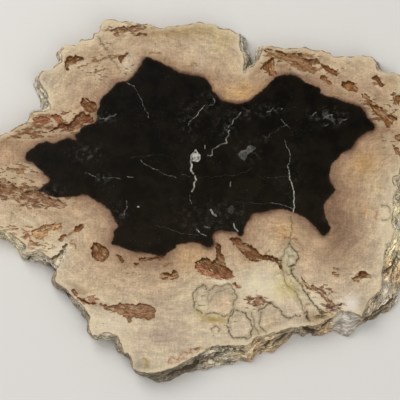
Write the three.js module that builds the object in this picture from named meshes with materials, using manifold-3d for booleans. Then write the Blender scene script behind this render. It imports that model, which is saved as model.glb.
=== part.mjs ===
import * as THREE from 'three';
import { ImprovedNoise } from 'three/addons/math/ImprovedNoise.js';
import Module from 'manifold-3d';

// A slice sawn across a petrified log. It is one piece of stone: a flat polished face, a flat sawn back
// and the log's rough natural surface as its rim, with worm borings that lie open in the face as pits.
// Millimetres, +X along the slice, +Y across it, +Z out of the polished face. The back rests on z = 0.

const SLICE_LENGTH = 294;
const THICKNESS = 14;

// The outlines are columns and rows of a picture, 400 wide and 400 high, in which the slice is tipped
// back a little, so that the rim's lower side shows. The slice's two ends lie outside the picture.
const LEFT_END_COLUMN = -41;
const RIGHT_END_COLUMN = 412;
const MIDDLE_COLUMN = (LEFT_END_COLUMN + RIGHT_END_COLUMN) / 2;
const MIDDLE_ROW = 196.4;
const MM_PER_COLUMN = SLICE_LENGTH / (RIGHT_END_COLUMN - LEFT_END_COLUMN);
const VIEW_TILT = THREE.MathUtils.degToRad(14);

// The point at height z that shows at this column and row.
function seenAt(column, row, z) {
  const x = (column - MIDDLE_COLUMN) * MM_PER_COLUMN;
  const up = (MIDDLE_ROW - row) * MM_PER_COLUMN;
  const y = (up + (THICKNESS - z) * Math.sin(VIEW_TILT)) / Math.cos(VIEW_TILT);
  return new THREE.Vector3(x, y, z);
}

// The rim, clockwise from the left end: a point of the polished face's edge, then the point of the
// back's edge below it. Where the two lie far apart, the rim runs out as a slope.
const RIM = [
  // The left end, outside the picture.
  [-37.5, 189, -40.8, 191], [-38, 181, -41, 183], [-35, 174, -38.3, 176], [-35.5, 167, -38, 169],
  [-30, 160, -33, 162], [-25, 156, -27.3, 158], [-23.5, 149.5, -25.5, 152], [-16, 145.5, -18, 148],
  [-11, 140, -12.5, 143.5], [-5, 139, -6, 142], [0, 135, -0.5, 138.5],
  // The upper left side.
  [9, 131.5, 8.5, 135], [17, 126, 16, 129.5], [27, 121, 25.5, 124], [30, 115, 27.5, 117],
  [33, 111.7, 30, 112.5], [43, 110.7, 39, 110], [48.5, 109.3, 39.3, 107.8], [50, 106, 39, 105],
  [47, 101, 39, 100.5], [47.3, 96, 37.5, 96], [46, 92.5, 35.5, 92], [43.5, 89, 33.8, 88],
  [40.5, 84.5, 32, 84.3], [37.7, 79.5, 34.2, 80.5], [37.5, 76, 35.3, 77.5], [39.5, 73, 38.5, 75],
  [41, 70.3, 40, 73], [47, 69.5, 46.5, 73], [51, 68.3, 50, 71], [54.5, 65, 53, 67.5],
  [57.8, 62.8, 56.5, 64], [60.5, 60.5, 57, 60], [60.7, 56, 56, 56], [60.6, 51.5, 55.2, 52.5],
  [62.5, 48.3, 59, 48.8], [66, 44.5, 65, 46.8], [75, 44, 75, 47.5], [78, 41.5, 77, 44.5],
  [80.5, 38.4, 79.5, 41.5], [84.5, 38.6, 84, 42], [92, 36.8, 91.5, 40], [93.7, 32.3, 92.3, 35],
  [98.5, 30.7, 97.5, 34], [100.3, 25, 98.8, 27.5], [104, 19, 102.8, 22],
  // The top.
  [109, 18.1, 108.5, 21.8], [114, 18.2, 114, 22], [118, 20, 118, 23.5], [130, 20.3, 130, 24],
  [140, 23, 140, 26.5], [148, 23.5, 148, 27.3], [155, 25.5, 155, 29.3], [162.5, 27.2, 162.5, 31],
  [167, 25, 167, 29], [173, 25, 173, 28.5], [184, 23.5, 184, 27.3], [193, 22, 193, 26],
  [200, 20.3, 200, 24.3], [205, 22, 205.3, 26], [214.5, 22.8, 215, 26.8], [219, 27, 220.5, 30],
  [231, 28.2, 232, 31.8], [235, 31.4, 236.5, 34], [240, 33.5, 243.5, 35.3],
  // The notch in the top, down its left side and up its right side.
  [240.3, 38, 246.7, 38.5], [240, 43, 247, 43.5], [241.3, 48.5, 246.5, 48.5],
  [243, 52.5, 249.5, 51.5], [244.5, 57, 250.8, 56], [244.7, 61.5, 250.9, 61.5],
  [242.8, 66, 250.4, 64.8], [243.3, 70.5, 250.8, 65.4], [245, 72, 251.2, 65.7],
  [246.7, 68, 251.7, 65.6], [249.5, 66.3, 252.3, 65.3], [253.3, 65, 253.5, 64.2],
  [256.3, 61.8, 255, 62], [259.3, 57, 255.6, 57.5], [261.3, 51.5, 257, 51.5],
  [263.2, 46.3, 259.8, 47], [266.5, 45, 265, 48],
  // The upper right side.
  [271, 45, 271, 48.8], [278, 46, 278, 49.8], [284, 47.3, 284, 51], [292, 47.3, 292, 51],
  [300, 47, 300, 50.8], [306, 46.2, 306, 50], [311, 48.2, 311, 52], [316, 49.6, 316, 53.3],
  [323, 49.3, 323, 53], [327, 51.6, 327.5, 55], [330.8, 51.8, 331.5, 55], [332.8, 54.4, 333.5, 57.5],
  [337, 55.8, 337.5, 59.3], [345, 55.5, 345, 59.3], [352, 55.8, 352, 59.6], [358.5, 54.8, 358.5, 58.5],
  [370, 55.3, 370, 59], [375, 57.2, 376.5, 60.5], [376.3, 60, 379.8, 61.5], [377.5, 65, 380.8, 66.5],
  [379.5, 69.5, 382.5, 71], [386, 71.8, 387, 75], [389, 73, 390, 76.5], [394, 72.2, 395, 76],
  // The right end, outside the picture.
  [400, 74, 402, 77.5], [404, 80, 406.3, 83], [403.7, 87.5, 406.8, 90], [407.5, 95, 410, 97],
  [407, 103, 409.6, 105], [409.5, 111, 411.8, 113], [407.8, 119, 410.7, 121], [409, 128, 412, 130],
  [406, 137, 410, 139], [407, 146, 410.8, 148], [403.5, 154, 408.6, 157], [404, 162, 408.8, 164],
  [400.7, 169, 407, 171],
  // The right side, whose slope widens downwards.
  [399, 174.8, 406.5, 177], [394, 176.5, 405, 182], [393, 181, 404.5, 187], [395.5, 186.5, 404, 192],
  [397.3, 189.3, 403.5, 197], [394.5, 194, 403, 202], [393.5, 201, 402, 208], [394, 208, 400.5, 215],
  [393, 215, 399, 220], [392, 223, 398.2, 225.5], [393.5, 228.5, 401, 231], [396, 231.5, 402.5, 236],
  [394, 237, 403, 243], [391, 242, 403.5, 250], [387.5, 248, 404, 257], [384.5, 253, 404, 264],
  [384, 260, 403.5, 271], [383.5, 266, 403, 278], [381.8, 273, 402, 284], [382, 281, 400.5, 289],
  [380.5, 288, 398.3, 294.5], [376.5, 293.5, 397, 300], [371.5, 298, 393.5, 306],
  [367.5, 302, 388, 311.8], [365.5, 306, 381, 314], [363.5, 311, 374, 319], [361, 317, 366, 322.5],
  // The lower side, from the white slope at the right to the spur at the bottom.
  [357.5, 314.5, 358.5, 326.5], [352, 312.6, 352, 333.3], [345, 311.5, 347, 336],
  [340, 310.8, 341.5, 334], [335, 315, 335.5, 332], [330, 318, 329.5, 332.5], [325, 320.5, 325, 334],
  [320, 324, 319.5, 336], [315, 324.6, 314, 335], [309, 325.2, 310, 333.3], [300, 326, 303, 336],
  [290, 327.5, 295, 333.6], [285, 329, 289, 338], [279, 330.5, 284, 343.5], [273, 332, 278, 348],
  [268, 334.3, 272, 352.2], [262.5, 335.6, 265, 351.3], [258, 336.3, 259.5, 353.3],
  [254, 338.5, 255, 357], [251, 341, 251, 361.7], [247, 344, 246, 361.3], [240, 344.6, 239, 360.2],
  [230, 345, 231, 363.6], [222, 345, 222, 365.2], [214, 345.3, 213, 367], [209, 347.5, 207.5, 369],
  [204, 351.3, 202, 369.2], [199, 353.5, 197, 370.3], [193, 356.8, 191, 372], [186, 360.6, 184, 373.5],
  [178, 364.5, 177.5, 376], [172, 367, 171.5, 379.8], [166, 369, 167, 381.2],
  // The spur and the lower left side.
  [160, 371, 160.5, 381.5], [153.5, 372, 154.5, 380.3], [147, 371.5, 148, 376.7],
  [140, 370.5, 142, 375.5], [134.5, 368.5, 136, 372.2], [132.8, 364, 132.7, 366.5],
  [131.3, 358, 130.5, 359.5], [129, 353, 127, 356.3], [124, 350.8, 122, 352.2],
  [122.5, 347, 119, 352.3], [121, 343, 116, 349.5], [119.5, 339, 115.8, 345.5],
  [117.5, 335.3, 114.5, 341.3], [113, 334, 111, 340.2], [108, 332, 107.5, 341], [102, 332.8, 101, 338.2],
  [97, 334.5, 97, 339.4], [93.2, 335, 92.5, 337.5], [90.2, 331, 89, 333.7], [89, 326, 87.4, 328],
  [89, 321, 87.6, 322], [90.4, 317, 86, 318], [88, 313, 82, 316], [85, 308.3, 78.5, 311.5],
  [81, 303.5, 75, 306], [76, 299, 71, 300], [71, 294, 66.5, 295.3], [66, 289, 60, 291],
  [60, 284, 54.5, 286.8], [55.8, 280.8, 51.3, 282.5], [56, 274.5, 53.3, 276], [56.3, 270, 54.5, 271.5],
  // The lower side of the left tongue.
  [57, 266.5, 51, 268.5], [54, 261, 47.5, 266.7], [50.5, 257.8, 43.5, 265.3], [46.5, 256, 40, 263],
  [43, 253, 35, 262.2], [38.5, 250.8, 31, 261.6], [33, 251.3, 27.5, 261], [29, 254, 23.5, 260],
  [26.2, 252, 21, 257], [27, 248, 18.5, 251.5], [24.5, 244.5, 15, 247.5], [20, 240.8, 11.5, 244],
  [15, 236.8, 8, 240.7], [9, 233, 4, 239.7], [4, 231, -1, 238.5], [-4, 231, -8, 236.5],
  [-9, 228.5, -12, 233.5], [-15, 228, -18, 232], [-20, 222.5, -24, 227], [-27, 219, -30.5, 222.5],
  [-29.5, 211.5, -34, 215], [-35, 206, -38, 209], [-35.5, 198, -39.3, 200.5],
];

// From the polished edge to the back's edge: how far the rim has run out and how far it has dropped,
// as shares of the whole. Two ledges show where the rim is wide.
const RIM_PROFILE = [[0, 0], [0.07, 0.13], [0.4, 0.25], [0.5, 0.5], [0.82, 0.64], [0.98, 0.84], [1, 1]];
const RIM_STATIONS = 380;
const LUMP_HEIGHT = 1.2;
const LUMP_SIZE = 5;

// The pits in the polished face: worm borings and rotted pockets that the silica never filled.
const PITS = [
  // Two borings at the upper left corner, and the lying one beside the core.
  { depth: 1.1, outline: [[64, 59.5], [66.5, 56], [73, 54.8], [81, 56.3], [83, 58.5], [75, 61.3],
    [69, 62.7], [68, 67], [66.5, 70.3], [63.8, 65.5]] },
  { depth: 1, outline: [[81, 98.5], [85, 97], [89.5, 99.5], [96.5, 105], [95, 111.5], [88, 112],
    [82.5, 108.5]] },
  { depth: 1.2, outline: [[48.5, 131.5], [54, 127], [60, 124], [70, 123.2], [74, 118], [79, 112.8],
    [84, 116], [92.5, 120], [83, 123.8], [78, 129], [69, 129.3], [63, 126], [55, 129.5]] },
  { depth: 0.8, outline: [[31.5, 119], [38, 115.7], [46, 117], [52.5, 121.5], [47, 122.3], [37, 121.8]] },
  // The rotted streak and the tan pocket in the left tongue.
  { depth: 0.8, outline: [[0, 182], [8, 180.8], [16, 186.5], [26, 190.8], [35, 189.5], [44, 195.5],
    [58, 199.5], [66, 203], [64, 208], [50, 206], [35, 207.7], [25, 206], [14, 199.5], [0, 199]] },
  { depth: 0.9, outline: [[32, 230.5], [39, 228], [44, 225], [53, 223.5], [62, 222.8], [61.5, 229.5],
    [50, 230.3], [46, 236.5], [41, 238.7], [34, 236.8]] },
  { depth: 0.8, outline: [[73.8, 229.7], [79, 224.7], [84, 224.5], [82, 230], [76, 231.5]] },
  // The round boring below the core's left end and the small ones to its right.
  { depth: 1.3, outline: [[91, 248], [95, 242.3], [101, 245], [108.5, 250.3], [109, 256.5],
    [102, 261.3], [94.5, 258.8]] },
  { depth: 0.9, outline: [[160.5, 275.5], [165, 272.3], [173.5, 270.3], [179.3, 276.3], [172, 279.5],
    [163, 278.3]] },
  // The long boring at the lower left.
  { depth: 1.3, outline: [[100.5, 303.2], [109, 305], [120, 302.8], [134, 303.5], [147, 303.5],
    [155.5, 309], [153, 317.5], [142, 318.8], [128.5, 320], [118, 312.5], [105, 308]] },
  { depth: 0.8, outline: [[72.3, 290], [77.5, 287.5], [78.5, 296], [90, 301.5], [88, 303.5], [78, 298.7]] },
  // The forked boring and the long one beside it, below the core.
  { depth: 1.3, outline: [[195, 262], [199, 259.5], [206, 256.7], [211, 260.8], [216.5, 256],
    [215.5, 242.5], [220.5, 245], [221, 251], [224.5, 256.5], [225, 266], [234.5, 275], [227, 280],
    [212, 278.7], [201, 270.7]] },
  { depth: 1.2, outline: [[229.5, 238.7], [238, 237.2], [244.5, 242.5], [252, 246.5], [260, 253.3],
    [272, 254.8], [281.5, 259.5], [280.5, 269.5], [275.5, 262.5], [265, 259.8], [252, 261.3],
    [243.5, 254], [236, 246]] },
  { depth: 0.9, outline: [[247.5, 300], [256, 297], [264.5, 298.5], [263.5, 303.5], [257, 307],
    [250, 304]] },
  // The borings at the right and along the top.
  { depth: 0.9, outline: [[352.5, 278], [360, 271.3], [367.5, 272.3], [369.5, 276.5], [361.5, 280.5],
    [356.5, 281.5]] },
  { depth: 1, outline: [[260.8, 68], [266, 62], [274.7, 56.5], [274.5, 65], [277, 74.7], [270.5, 75],
    [266.5, 69.3]] },
  { depth: 0.9, outline: [[263.5, 48.3], [277, 49.3], [290, 52.8], [299, 51.3], [305, 57.5],
    [318, 58], [321, 61.8], [313, 64], [315.5, 72.5], [304, 68.5], [291, 62.5], [279, 57.5]] },
  { depth: 0.8, outline: [[321.5, 63.5], [330, 66.8], [341.5, 73], [337, 75], [327, 69.8]] },
  { depth: 1, outline: [[341.5, 84.5], [348, 79.5], [353, 81.5], [359.3, 88.5], [355, 91], [345, 87.5]] },
  { depth: 1, outline: [[367.3, 101.5], [374, 104], [382, 107.3], [389, 114.3], [397.5, 117],
    [395, 121], [388.5, 127.5], [383.5, 120.5], [376, 112.5]] },
  { depth: 0.8, outline: [[109.5, 30.3], [118, 26], [131, 24.8], [142, 24.4], [146.5, 26.5],
    [136, 30], [122, 28.6]] },
  // The crevice that runs up from the rim at the lower left, and is open to it.
  { depth: 3, outline: [[44, 262], [51, 257], [57, 255], [61, 250.5], [64, 243.5], [67.5, 243],
    [66.5, 251], [63.5, 260], [60, 265.5], [52, 272]] },
];
const PIT_POINT_SPACING = 1.9;
const PIT_SIDE_RUN = 0.5;
const CUT_CLEARANCE = 1;

// The same ring of points, turned round if need be, so that it runs anticlockwise seen from above.
function anticlockwise(ring) {
  return THREE.ShapeUtils.isClockWise(ring) ? ring.toReversed() : ring;
}

// A closed solid through rings of equal length, listed from the top down, with a cap on both ends.
function loft(rings) {
  const count = rings[0].length;
  const lastRing = (rings.length - 1) * count;
  const index = [];
  for (let ringStart = 0; ringStart < lastRing; ringStart += count) {
    for (let i = 0; i < count; i += 1) {
      const here = ringStart + i;
      const next = ringStart + ((i + 1) % count);
      index.push(here, here + count, next, next, here + count, next + count);
    }
  }
  for (const triangle of THREE.ShapeUtils.triangulateShape(rings[0], [])) {
    index.push(...triangle);
  }
  for (const [a, b, c] of THREE.ShapeUtils.triangulateShape(rings.at(-1), [])) {
    index.push(lastRing + a, lastRing + c, lastRing + b);
  }
  const geometry = new THREE.BufferGeometry().setFromPoints(rings.flat());
  return geometry.setIndex(index);
}

// For each point of a ring, the level direction that leads out of the ring, taken over its neighbours.
function outwardDirections(ring, reach) {
  return ring.map((point, i) => {
    const before = ring.at(i - reach);
    const after = ring[(i + reach) % ring.length];
    return new THREE.Vector3(after.y - before.y, before.x - after.x, 0).normalize();
  });
}

// The slice before the pits are cut: the rim's rings, roughened everywhere but at the polished edge.
function sliceGeometry() {
  const faceEdge = new THREE.CatmullRomCurve3(RIM.map(([u, v]) => seenAt(u, v, THICKNESS)), true);
  const backEdge = new THREE.CatmullRomCurve3(RIM.map(([, , u, v]) => seenAt(u, v, 0)), true);
  const faceRing = [];
  const backRing = [];
  for (let i = 0; i < RIM_STATIONS; i += 1) {
    const t = faceEdge.getUtoTmapping(1 - i / RIM_STATIONS);
    faceRing.push(faceEdge.getPoint(t));
    backRing.push(backEdge.getPoint(t));
  }
  const outward = outwardDirections(backRing, 3);
  const noise = new ImprovedNoise();
  const lump = (p) => LUMP_HEIGHT * noise.noise(p.x / LUMP_SIZE, p.y / LUMP_SIZE, p.z / LUMP_SIZE);
  const rings = RIM_PROFILE.map(([run, drop]) => faceRing.map((point, i) => {
    const onRim = point.clone().lerp(backRing[i], run).setZ(THICKNESS * (1 - drop));
    return drop > 0 ? onRim.addScaledVector(outward[i], lump(onRim)) : onRim;
  }));
  return loft(rings);
}

// The solid that cuts one pit: upright above the face, and narrowing below it to the pit's floor.
function pitGeometry({ depth, outline }) {
  const edge = new THREE.CatmullRomCurve3(outline.map(([u, v]) => seenAt(u, v, THICKNESS)), true);
  const count = Math.round(edge.getLength() / PIT_POINT_SPACING);
  const mouth = anticlockwise(edge.getSpacedPoints(count).slice(0, count));
  const outward = outwardDirections(mouth, 1);
  const above = mouth.map((point) => point.clone().setZ(THICKNESS + CUT_CLEARANCE));
  const floor = mouth.map((point, i) => (
    point.clone().addScaledVector(outward[i], -PIT_SIDE_RUN).setZ(THICKNESS - depth)
  ));
  return loft([above, mouth, floor]);
}

const wasm = await Module();
wasm.setup();

function toSolid(geometry) {
  const vertProperties = geometry.attributes.position.array;
  const triVerts = Uint32Array.from(geometry.index.array);
  return new wasm.Manifold(new wasm.Mesh({ numProp: 3, vertProperties, triVerts }));
}

function toGeometry(solid) {
  const { vertProperties, triVerts } = solid.getMesh();
  const geometry = new THREE.BufferGeometry();
  geometry.setAttribute('position', new THREE.BufferAttribute(vertProperties, 3));
  geometry.setIndex(new THREE.BufferAttribute(triVerts, 1));
  geometry.computeVertexNormals();
  return geometry;
}

const stone = new THREE.MeshStandardMaterial({ color: 0xbfa888, roughness: 0.35, metalness: 0 });

const pitted = PITS.reduce(
  (solid, pit) => solid.subtract(toSolid(pitGeometry(pit))),
  toSolid(sliceGeometry()),
);
const slice = new THREE.Mesh(toGeometry(pitted), stone);
slice.name = 'petrified_wood_slice';

const part = new THREE.Group();
part.add(slice);

export default part;
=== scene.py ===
import math

import bpy
import numpy as np
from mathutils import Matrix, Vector, noise
from mathutils.geometry import delaunay_2d_cdt
from mathutils.kdtree import KDTree


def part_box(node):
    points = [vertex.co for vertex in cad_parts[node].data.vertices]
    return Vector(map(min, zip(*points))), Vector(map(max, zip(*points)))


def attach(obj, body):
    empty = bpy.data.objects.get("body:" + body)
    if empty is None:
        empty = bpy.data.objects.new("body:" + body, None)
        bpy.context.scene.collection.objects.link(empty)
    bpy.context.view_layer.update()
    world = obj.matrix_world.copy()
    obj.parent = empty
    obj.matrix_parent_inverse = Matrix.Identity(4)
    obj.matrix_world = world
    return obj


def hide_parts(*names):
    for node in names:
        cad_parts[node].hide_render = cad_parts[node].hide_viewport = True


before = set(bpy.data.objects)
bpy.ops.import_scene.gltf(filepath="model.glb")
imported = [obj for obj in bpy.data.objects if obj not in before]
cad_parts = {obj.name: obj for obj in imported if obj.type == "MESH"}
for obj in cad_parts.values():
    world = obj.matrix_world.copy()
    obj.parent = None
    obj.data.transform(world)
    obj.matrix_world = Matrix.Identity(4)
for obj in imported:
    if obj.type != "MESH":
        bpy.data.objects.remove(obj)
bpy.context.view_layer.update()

# The slab's place and shape.
# A slice sawn across a petrified log: one piece of stone with a polished face, a flat sawn back and the
# log's own rough surface as its rim. The saw and the lap left the two faces flat and parallel.
MM = 0.001
low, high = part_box("petrified_wood_slice")
THICKNESS = (high.z - low.z) / MM

# Outlines are columns and rows of a picture, 400 wide and 400 high, in which the slab is tipped back a
# little, so that the rim's lower side shows. The slab's two ends lie outside the picture.
SLAB_LENGTH = 294
LEFT_END_COLUMN = -41
RIGHT_END_COLUMN = 412
MIDDLE_COLUMN = (LEFT_END_COLUMN + RIGHT_END_COLUMN) / 2
MIDDLE_ROW = 196.4
MM_PER_COLUMN = SLAB_LENGTH / (RIGHT_END_COLUMN - LEFT_END_COLUMN)
VIEW_TILT = math.radians(14)


def seen_at(columns_and_rows, z):
    """The places in mm, at height z, that show at these columns and rows."""
    picture = np.array(columns_and_rows, float)
    x = (picture[:, 0] - MIDDLE_COLUMN) * MM_PER_COLUMN
    up = (MIDDLE_ROW - picture[:, 1]) * MM_PER_COLUMN
    y = (up + (THICKNESS - z) * math.sin(VIEW_TILT)) / math.cos(VIEW_TILT)
    return np.stack([x, y], 1)


# The rim, clockwise from the left end: a point of the polished face's edge, then the point of the
# back's edge below it. Where the two lie far apart, the rim runs out as a slope.
RIM = [
    # The left end, outside the picture.
    (-37.5, 189, -40.8, 191), (-38, 181, -41, 183), (-35, 174, -38.3, 176), (-35.5, 167, -38, 169),
    (-30, 160, -33, 162), (-25, 156, -27.3, 158), (-23.5, 149.5, -25.5, 152), (-16, 145.5, -18, 148),
    (-11, 140, -12.5, 143.5), (-5, 139, -6, 142), (0, 135, -0.5, 138.5),
    # The upper left side.
    (9, 131.5, 8.5, 135), (17, 126, 16, 129.5), (27, 121, 25.5, 124), (30, 115, 27.5, 117),
    (33, 111.7, 30, 112.5), (43, 110.7, 39, 110), (48.5, 109.3, 39.3, 107.8), (50, 106, 39, 105),
    (47, 101, 39, 100.5), (47.3, 96, 37.5, 96), (46, 92.5, 35.5, 92), (43.5, 89, 33.8, 88),
    (40.5, 84.5, 32, 84.3), (37.7, 79.5, 34.2, 80.5), (37.5, 76, 35.3, 77.5), (39.5, 73, 38.5, 75),
    (41, 70.3, 40, 73), (47, 69.5, 46.5, 73), (51, 68.3, 50, 71), (54.5, 65, 53, 67.5),
    (57.8, 62.8, 56.5, 64), (60.5, 60.5, 57, 60), (60.7, 56, 56, 56), (60.6, 51.5, 55.2, 52.5),
    (62.5, 48.3, 59, 48.8), (66, 44.5, 65, 46.8), (75, 44, 75, 47.5), (78, 41.5, 77, 44.5),
    (80.5, 38.4, 79.5, 41.5), (84.5, 38.6, 84, 42), (92, 36.8, 91.5, 40), (93.7, 32.3, 92.3, 35),
    (98.5, 30.7, 97.5, 34), (100.3, 25, 98.8, 27.5), (104, 19, 102.8, 22),
    # The top.
    (109, 18.1, 108.5, 21.8), (114, 18.2, 114, 22), (118, 20, 118, 23.5), (130, 20.3, 130, 24),
    (140, 23, 140, 26.5), (148, 23.5, 148, 27.3), (155, 25.5, 155, 29.3), (162.5, 27.2, 162.5, 31),
    (167, 25, 167, 29), (173, 25, 173, 28.5), (184, 23.5, 184, 27.3), (193, 22, 193, 26),
    (200, 20.3, 200, 24.3), (205, 22, 205.3, 26), (214.5, 22.8, 215, 26.8), (219, 27, 220.5, 30),
    (231, 28.2, 232, 31.8), (235, 31.4, 236.5, 34), (240, 33.5, 243.5, 35.3),
    # The notch in the top, down its left side and up its right side.
    (240.3, 38, 246.7, 38.5), (240, 43, 247, 43.5), (241.3, 48.5, 246.5, 48.5),
    (243, 52.5, 249.5, 51.5), (244.5, 57, 250.8, 56), (244.7, 61.5, 250.9, 61.5),
    (242.8, 66, 250.4, 64.8), (243.3, 70.5, 250.8, 65.4), (245, 72, 251.2, 65.7),
    (246.7, 68, 251.7, 65.6), (249.5, 66.3, 252.3, 65.3), (253.3, 65, 253.5, 64.2),
    (256.3, 61.8, 255, 62), (259.3, 57, 255.6, 57.5), (261.3, 51.5, 257, 51.5),
    (263.2, 46.3, 259.8, 47), (266.5, 45, 265, 48),
    # The upper right side.
    (271, 45, 271, 48.8), (278, 46, 278, 49.8), (284, 47.3, 284, 51), (292, 47.3, 292, 51),
    (300, 47, 300, 50.8), (306, 46.2, 306, 50), (311, 48.2, 311, 52), (316, 49.6, 316, 53.3),
    (323, 49.3, 323, 53), (327, 51.6, 327.5, 55), (330.8, 51.8, 331.5, 55), (332.8, 54.4, 333.5, 57.5),
    (337, 55.8, 337.5, 59.3), (345, 55.5, 345, 59.3), (352, 55.8, 352, 59.6), (358.5, 54.8, 358.5, 58.5),
    (370, 55.3, 370, 59), (375, 57.2, 376.5, 60.5), (376.3, 60, 379.8, 61.5), (377.5, 65, 380.8, 66.5),
    (379.5, 69.5, 382.5, 71), (386, 71.8, 387, 75), (389, 73, 390, 76.5), (394, 72.2, 395, 76),
    # The right end, outside the picture.
    (400, 74, 402, 77.5), (404, 80, 406.3, 83), (403.7, 87.5, 406.8, 90), (407.5, 95, 410, 97),
    (407, 103, 409.6, 105), (409.5, 111, 411.8, 113), (407.8, 119, 410.7, 121), (409, 128, 412, 130),
    (406, 137, 410, 139), (407, 146, 410.8, 148), (403.5, 154, 408.6, 157), (404, 162, 408.8, 164),
    (400.7, 169, 407, 171),
    # The right side, whose slope widens downwards.
    (399, 174.8, 406.5, 177), (394, 176.5, 405, 182), (393, 181, 404.5, 187), (395.5, 186.5, 404, 192),
    (397.3, 189.3, 403.5, 197), (394.5, 194, 403, 202), (393.5, 201, 402, 208), (394, 208, 400.5, 215),
    (393, 215, 399, 220), (392, 223, 398.2, 225.5), (393.5, 228.5, 401, 231), (396, 231.5, 402.5, 236),
    (394, 237, 403, 243), (391, 242, 403.5, 250), (387.5, 248, 404, 257), (384.5, 253, 404, 264),
    (384, 260, 403.5, 271), (383.5, 266, 403, 278), (381.8, 273, 402, 284), (382, 281, 400.5, 289),
    (380.5, 288, 398.3, 294.5), (376.5, 293.5, 397, 300), (371.5, 298, 393.5, 306),
    (367.5, 302, 388, 311.8), (365.5, 306, 381, 314), (363.5, 311, 374, 319), (361, 317, 366, 322.5),
    # The lower side, from the white slope at the right to the spur at the bottom.
    (357.5, 314.5, 358.5, 326.5), (352, 312.6, 352, 333.3), (345, 311.5, 347, 336),
    (340, 310.8, 341.5, 334), (335, 315, 335.5, 332), (330, 318, 329.5, 332.5), (325, 320.5, 325, 334),
    (320, 324, 319.5, 336), (315, 324.6, 314, 335), (309, 325.2, 310, 333.3), (300, 326, 303, 336),
    (290, 327.5, 295, 333.6), (285, 329, 289, 338), (279, 330.5, 284, 343.5), (273, 332, 278, 348),
    (268, 334.3, 272, 352.2), (262.5, 335.6, 265, 351.3), (258, 336.3, 259.5, 353.3),
    (254, 338.5, 255, 357), (251, 341, 251, 361.7), (247, 344, 246, 361.3), (240, 344.6, 239, 360.2),
    (230, 345, 231, 363.6), (222, 345, 222, 365.2), (214, 345.3, 213, 367), (209, 347.5, 207.5, 369),
    (204, 351.3, 202, 369.2), (199, 353.5, 197, 370.3), (193, 356.8, 191, 372), (186, 360.6, 184, 373.5),
    (178, 364.5, 177.5, 376), (172, 367, 171.5, 379.8), (166, 369, 167, 381.2),
    # The spur and the lower left side.
    (160, 371, 160.5, 381.5), (153.5, 372, 154.5, 380.3), (147, 371.5, 148, 376.7),
    (140, 370.5, 142, 375.5), (134.5, 368.5, 136, 372.2), (132.8, 364, 132.7, 366.5),
    (131.3, 358, 130.5, 359.5), (129, 353, 127, 356.3), (124, 350.8, 122, 352.2),
    (122.5, 347, 119, 352.3), (121, 343, 116, 349.5), (119.5, 339, 115.8, 345.5),
    (117.5, 335.3, 114.5, 341.3), (113, 334, 111, 340.2), (108, 332, 107.5, 341),
    (102, 332.8, 101, 338.2), (97, 334.5, 97, 339.4), (93.2, 335, 92.5, 337.5),
    (90.2, 331, 89, 333.7), (89, 326, 87.4, 328),
    (89, 321, 87.6, 322), (90.4, 317, 86, 318), (88, 313, 82, 316), (85, 308.3, 78.5, 311.5),
    (81, 303.5, 75, 306), (76, 299, 71, 300), (71, 294, 66.5, 295.3), (66, 289, 60, 291),
    (60, 284, 54.5, 286.8), (55.8, 280.8, 51.3, 282.5), (56, 274.5, 53.3, 276), (56.3, 270, 54.5, 271.5),
    # The lower side of the left tongue.
    (57, 266.5, 51, 268.5), (54, 261, 47.5, 266.7), (50.5, 257.8, 43.5, 265.3), (46.5, 256, 40, 263),
    (43, 253, 35, 262.2), (38.5, 250.8, 31, 261.6), (33, 251.3, 27.5, 261), (29, 254, 23.5, 260),
    (26.2, 252, 21, 257), (27, 248, 18.5, 251.5), (24.5, 244.5, 15, 247.5), (20, 240.8, 11.5, 244),
    (15, 236.8, 8, 240.7), (9, 233, 4, 239.7), (4, 231, -1, 238.5), (-4, 231, -8, 236.5),
    (-9, 228.5, -12, 233.5), (-15, 228, -18, 232), (-20, 222.5, -24, 227), (-27, 219, -30.5, 222.5),
    (-29.5, 211.5, -34, 215), (-35, 206, -38, 209), (-35.5, 198, -39.3, 200.5),
]
STATION_SPACING = 0.8   # mm from one point of the rim to the next
TINY = 1e-6   # mm, a distance too small to count


def through(points, closed=True, steps=12):
    """A smooth curve through the points, that doesn't swing out where they lie close together."""
    p = np.asarray(points, float)
    if closed:
        before, after = np.roll(p, 1, 0), np.roll(p, -1, 0)
        beyond = np.roll(p, -2, 0)
        here = p
    else:
        ends = np.concatenate([[2 * p[0] - p[1]], p, [2 * p[-1] - p[-2]]])
        before, here, after, beyond = ends[:-3], ends[1:-2], ends[2:-1], ends[3:]
    gap_before, gap, gap_after = (
        np.sqrt(np.maximum(np.linalg.norm(b - a, axis=1, keepdims=True), TINY))
        for a, b in ((before, here), (here, after), (after, beyond))
    )
    step = after - here
    leave = gap * ((here - before) / gap_before - (after - before) / (gap_before + gap) + step / gap)
    arrive = gap * (step / gap - (beyond - here) / (gap + gap_after) + (beyond - after) / gap_after)
    t = np.linspace(0, 1, steps, endpoint=False)[None, :, None]
    curve = (
        here[:, None] + leave[:, None] * t
        + (3 * step - 2 * leave - arrive)[:, None] * t**2
        + (leave + arrive - 2 * step)[:, None] * t**3
    ).reshape(-1, p.shape[1])
    return curve if closed else np.concatenate([curve, p[-1:]])


def spaced_along(curve, spacing, closed=True):
    """Points at even distances along a curve, measured on its first two columns."""
    path = np.concatenate([curve, curve[:1]]) if closed else curve
    run = np.concatenate([[0], np.cumsum(np.linalg.norm(np.diff(path[:, :2], axis=0), axis=1))])
    count = max(2, round(run[-1] / spacing) + (not closed))
    stops = np.linspace(0, run[-1], count, endpoint=not closed)
    return np.stack([np.interp(stops, run, column) for column in path.T], 1)


rim_rows = np.array(RIM, float)[::-1]
face_and_back = np.concatenate([seen_at(rim_rows[:, :2], THICKNESS), seen_at(rim_rows[:, 2:], 0)], 1)
stations = spaced_along(through(face_and_back), STATION_SPACING)


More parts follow.
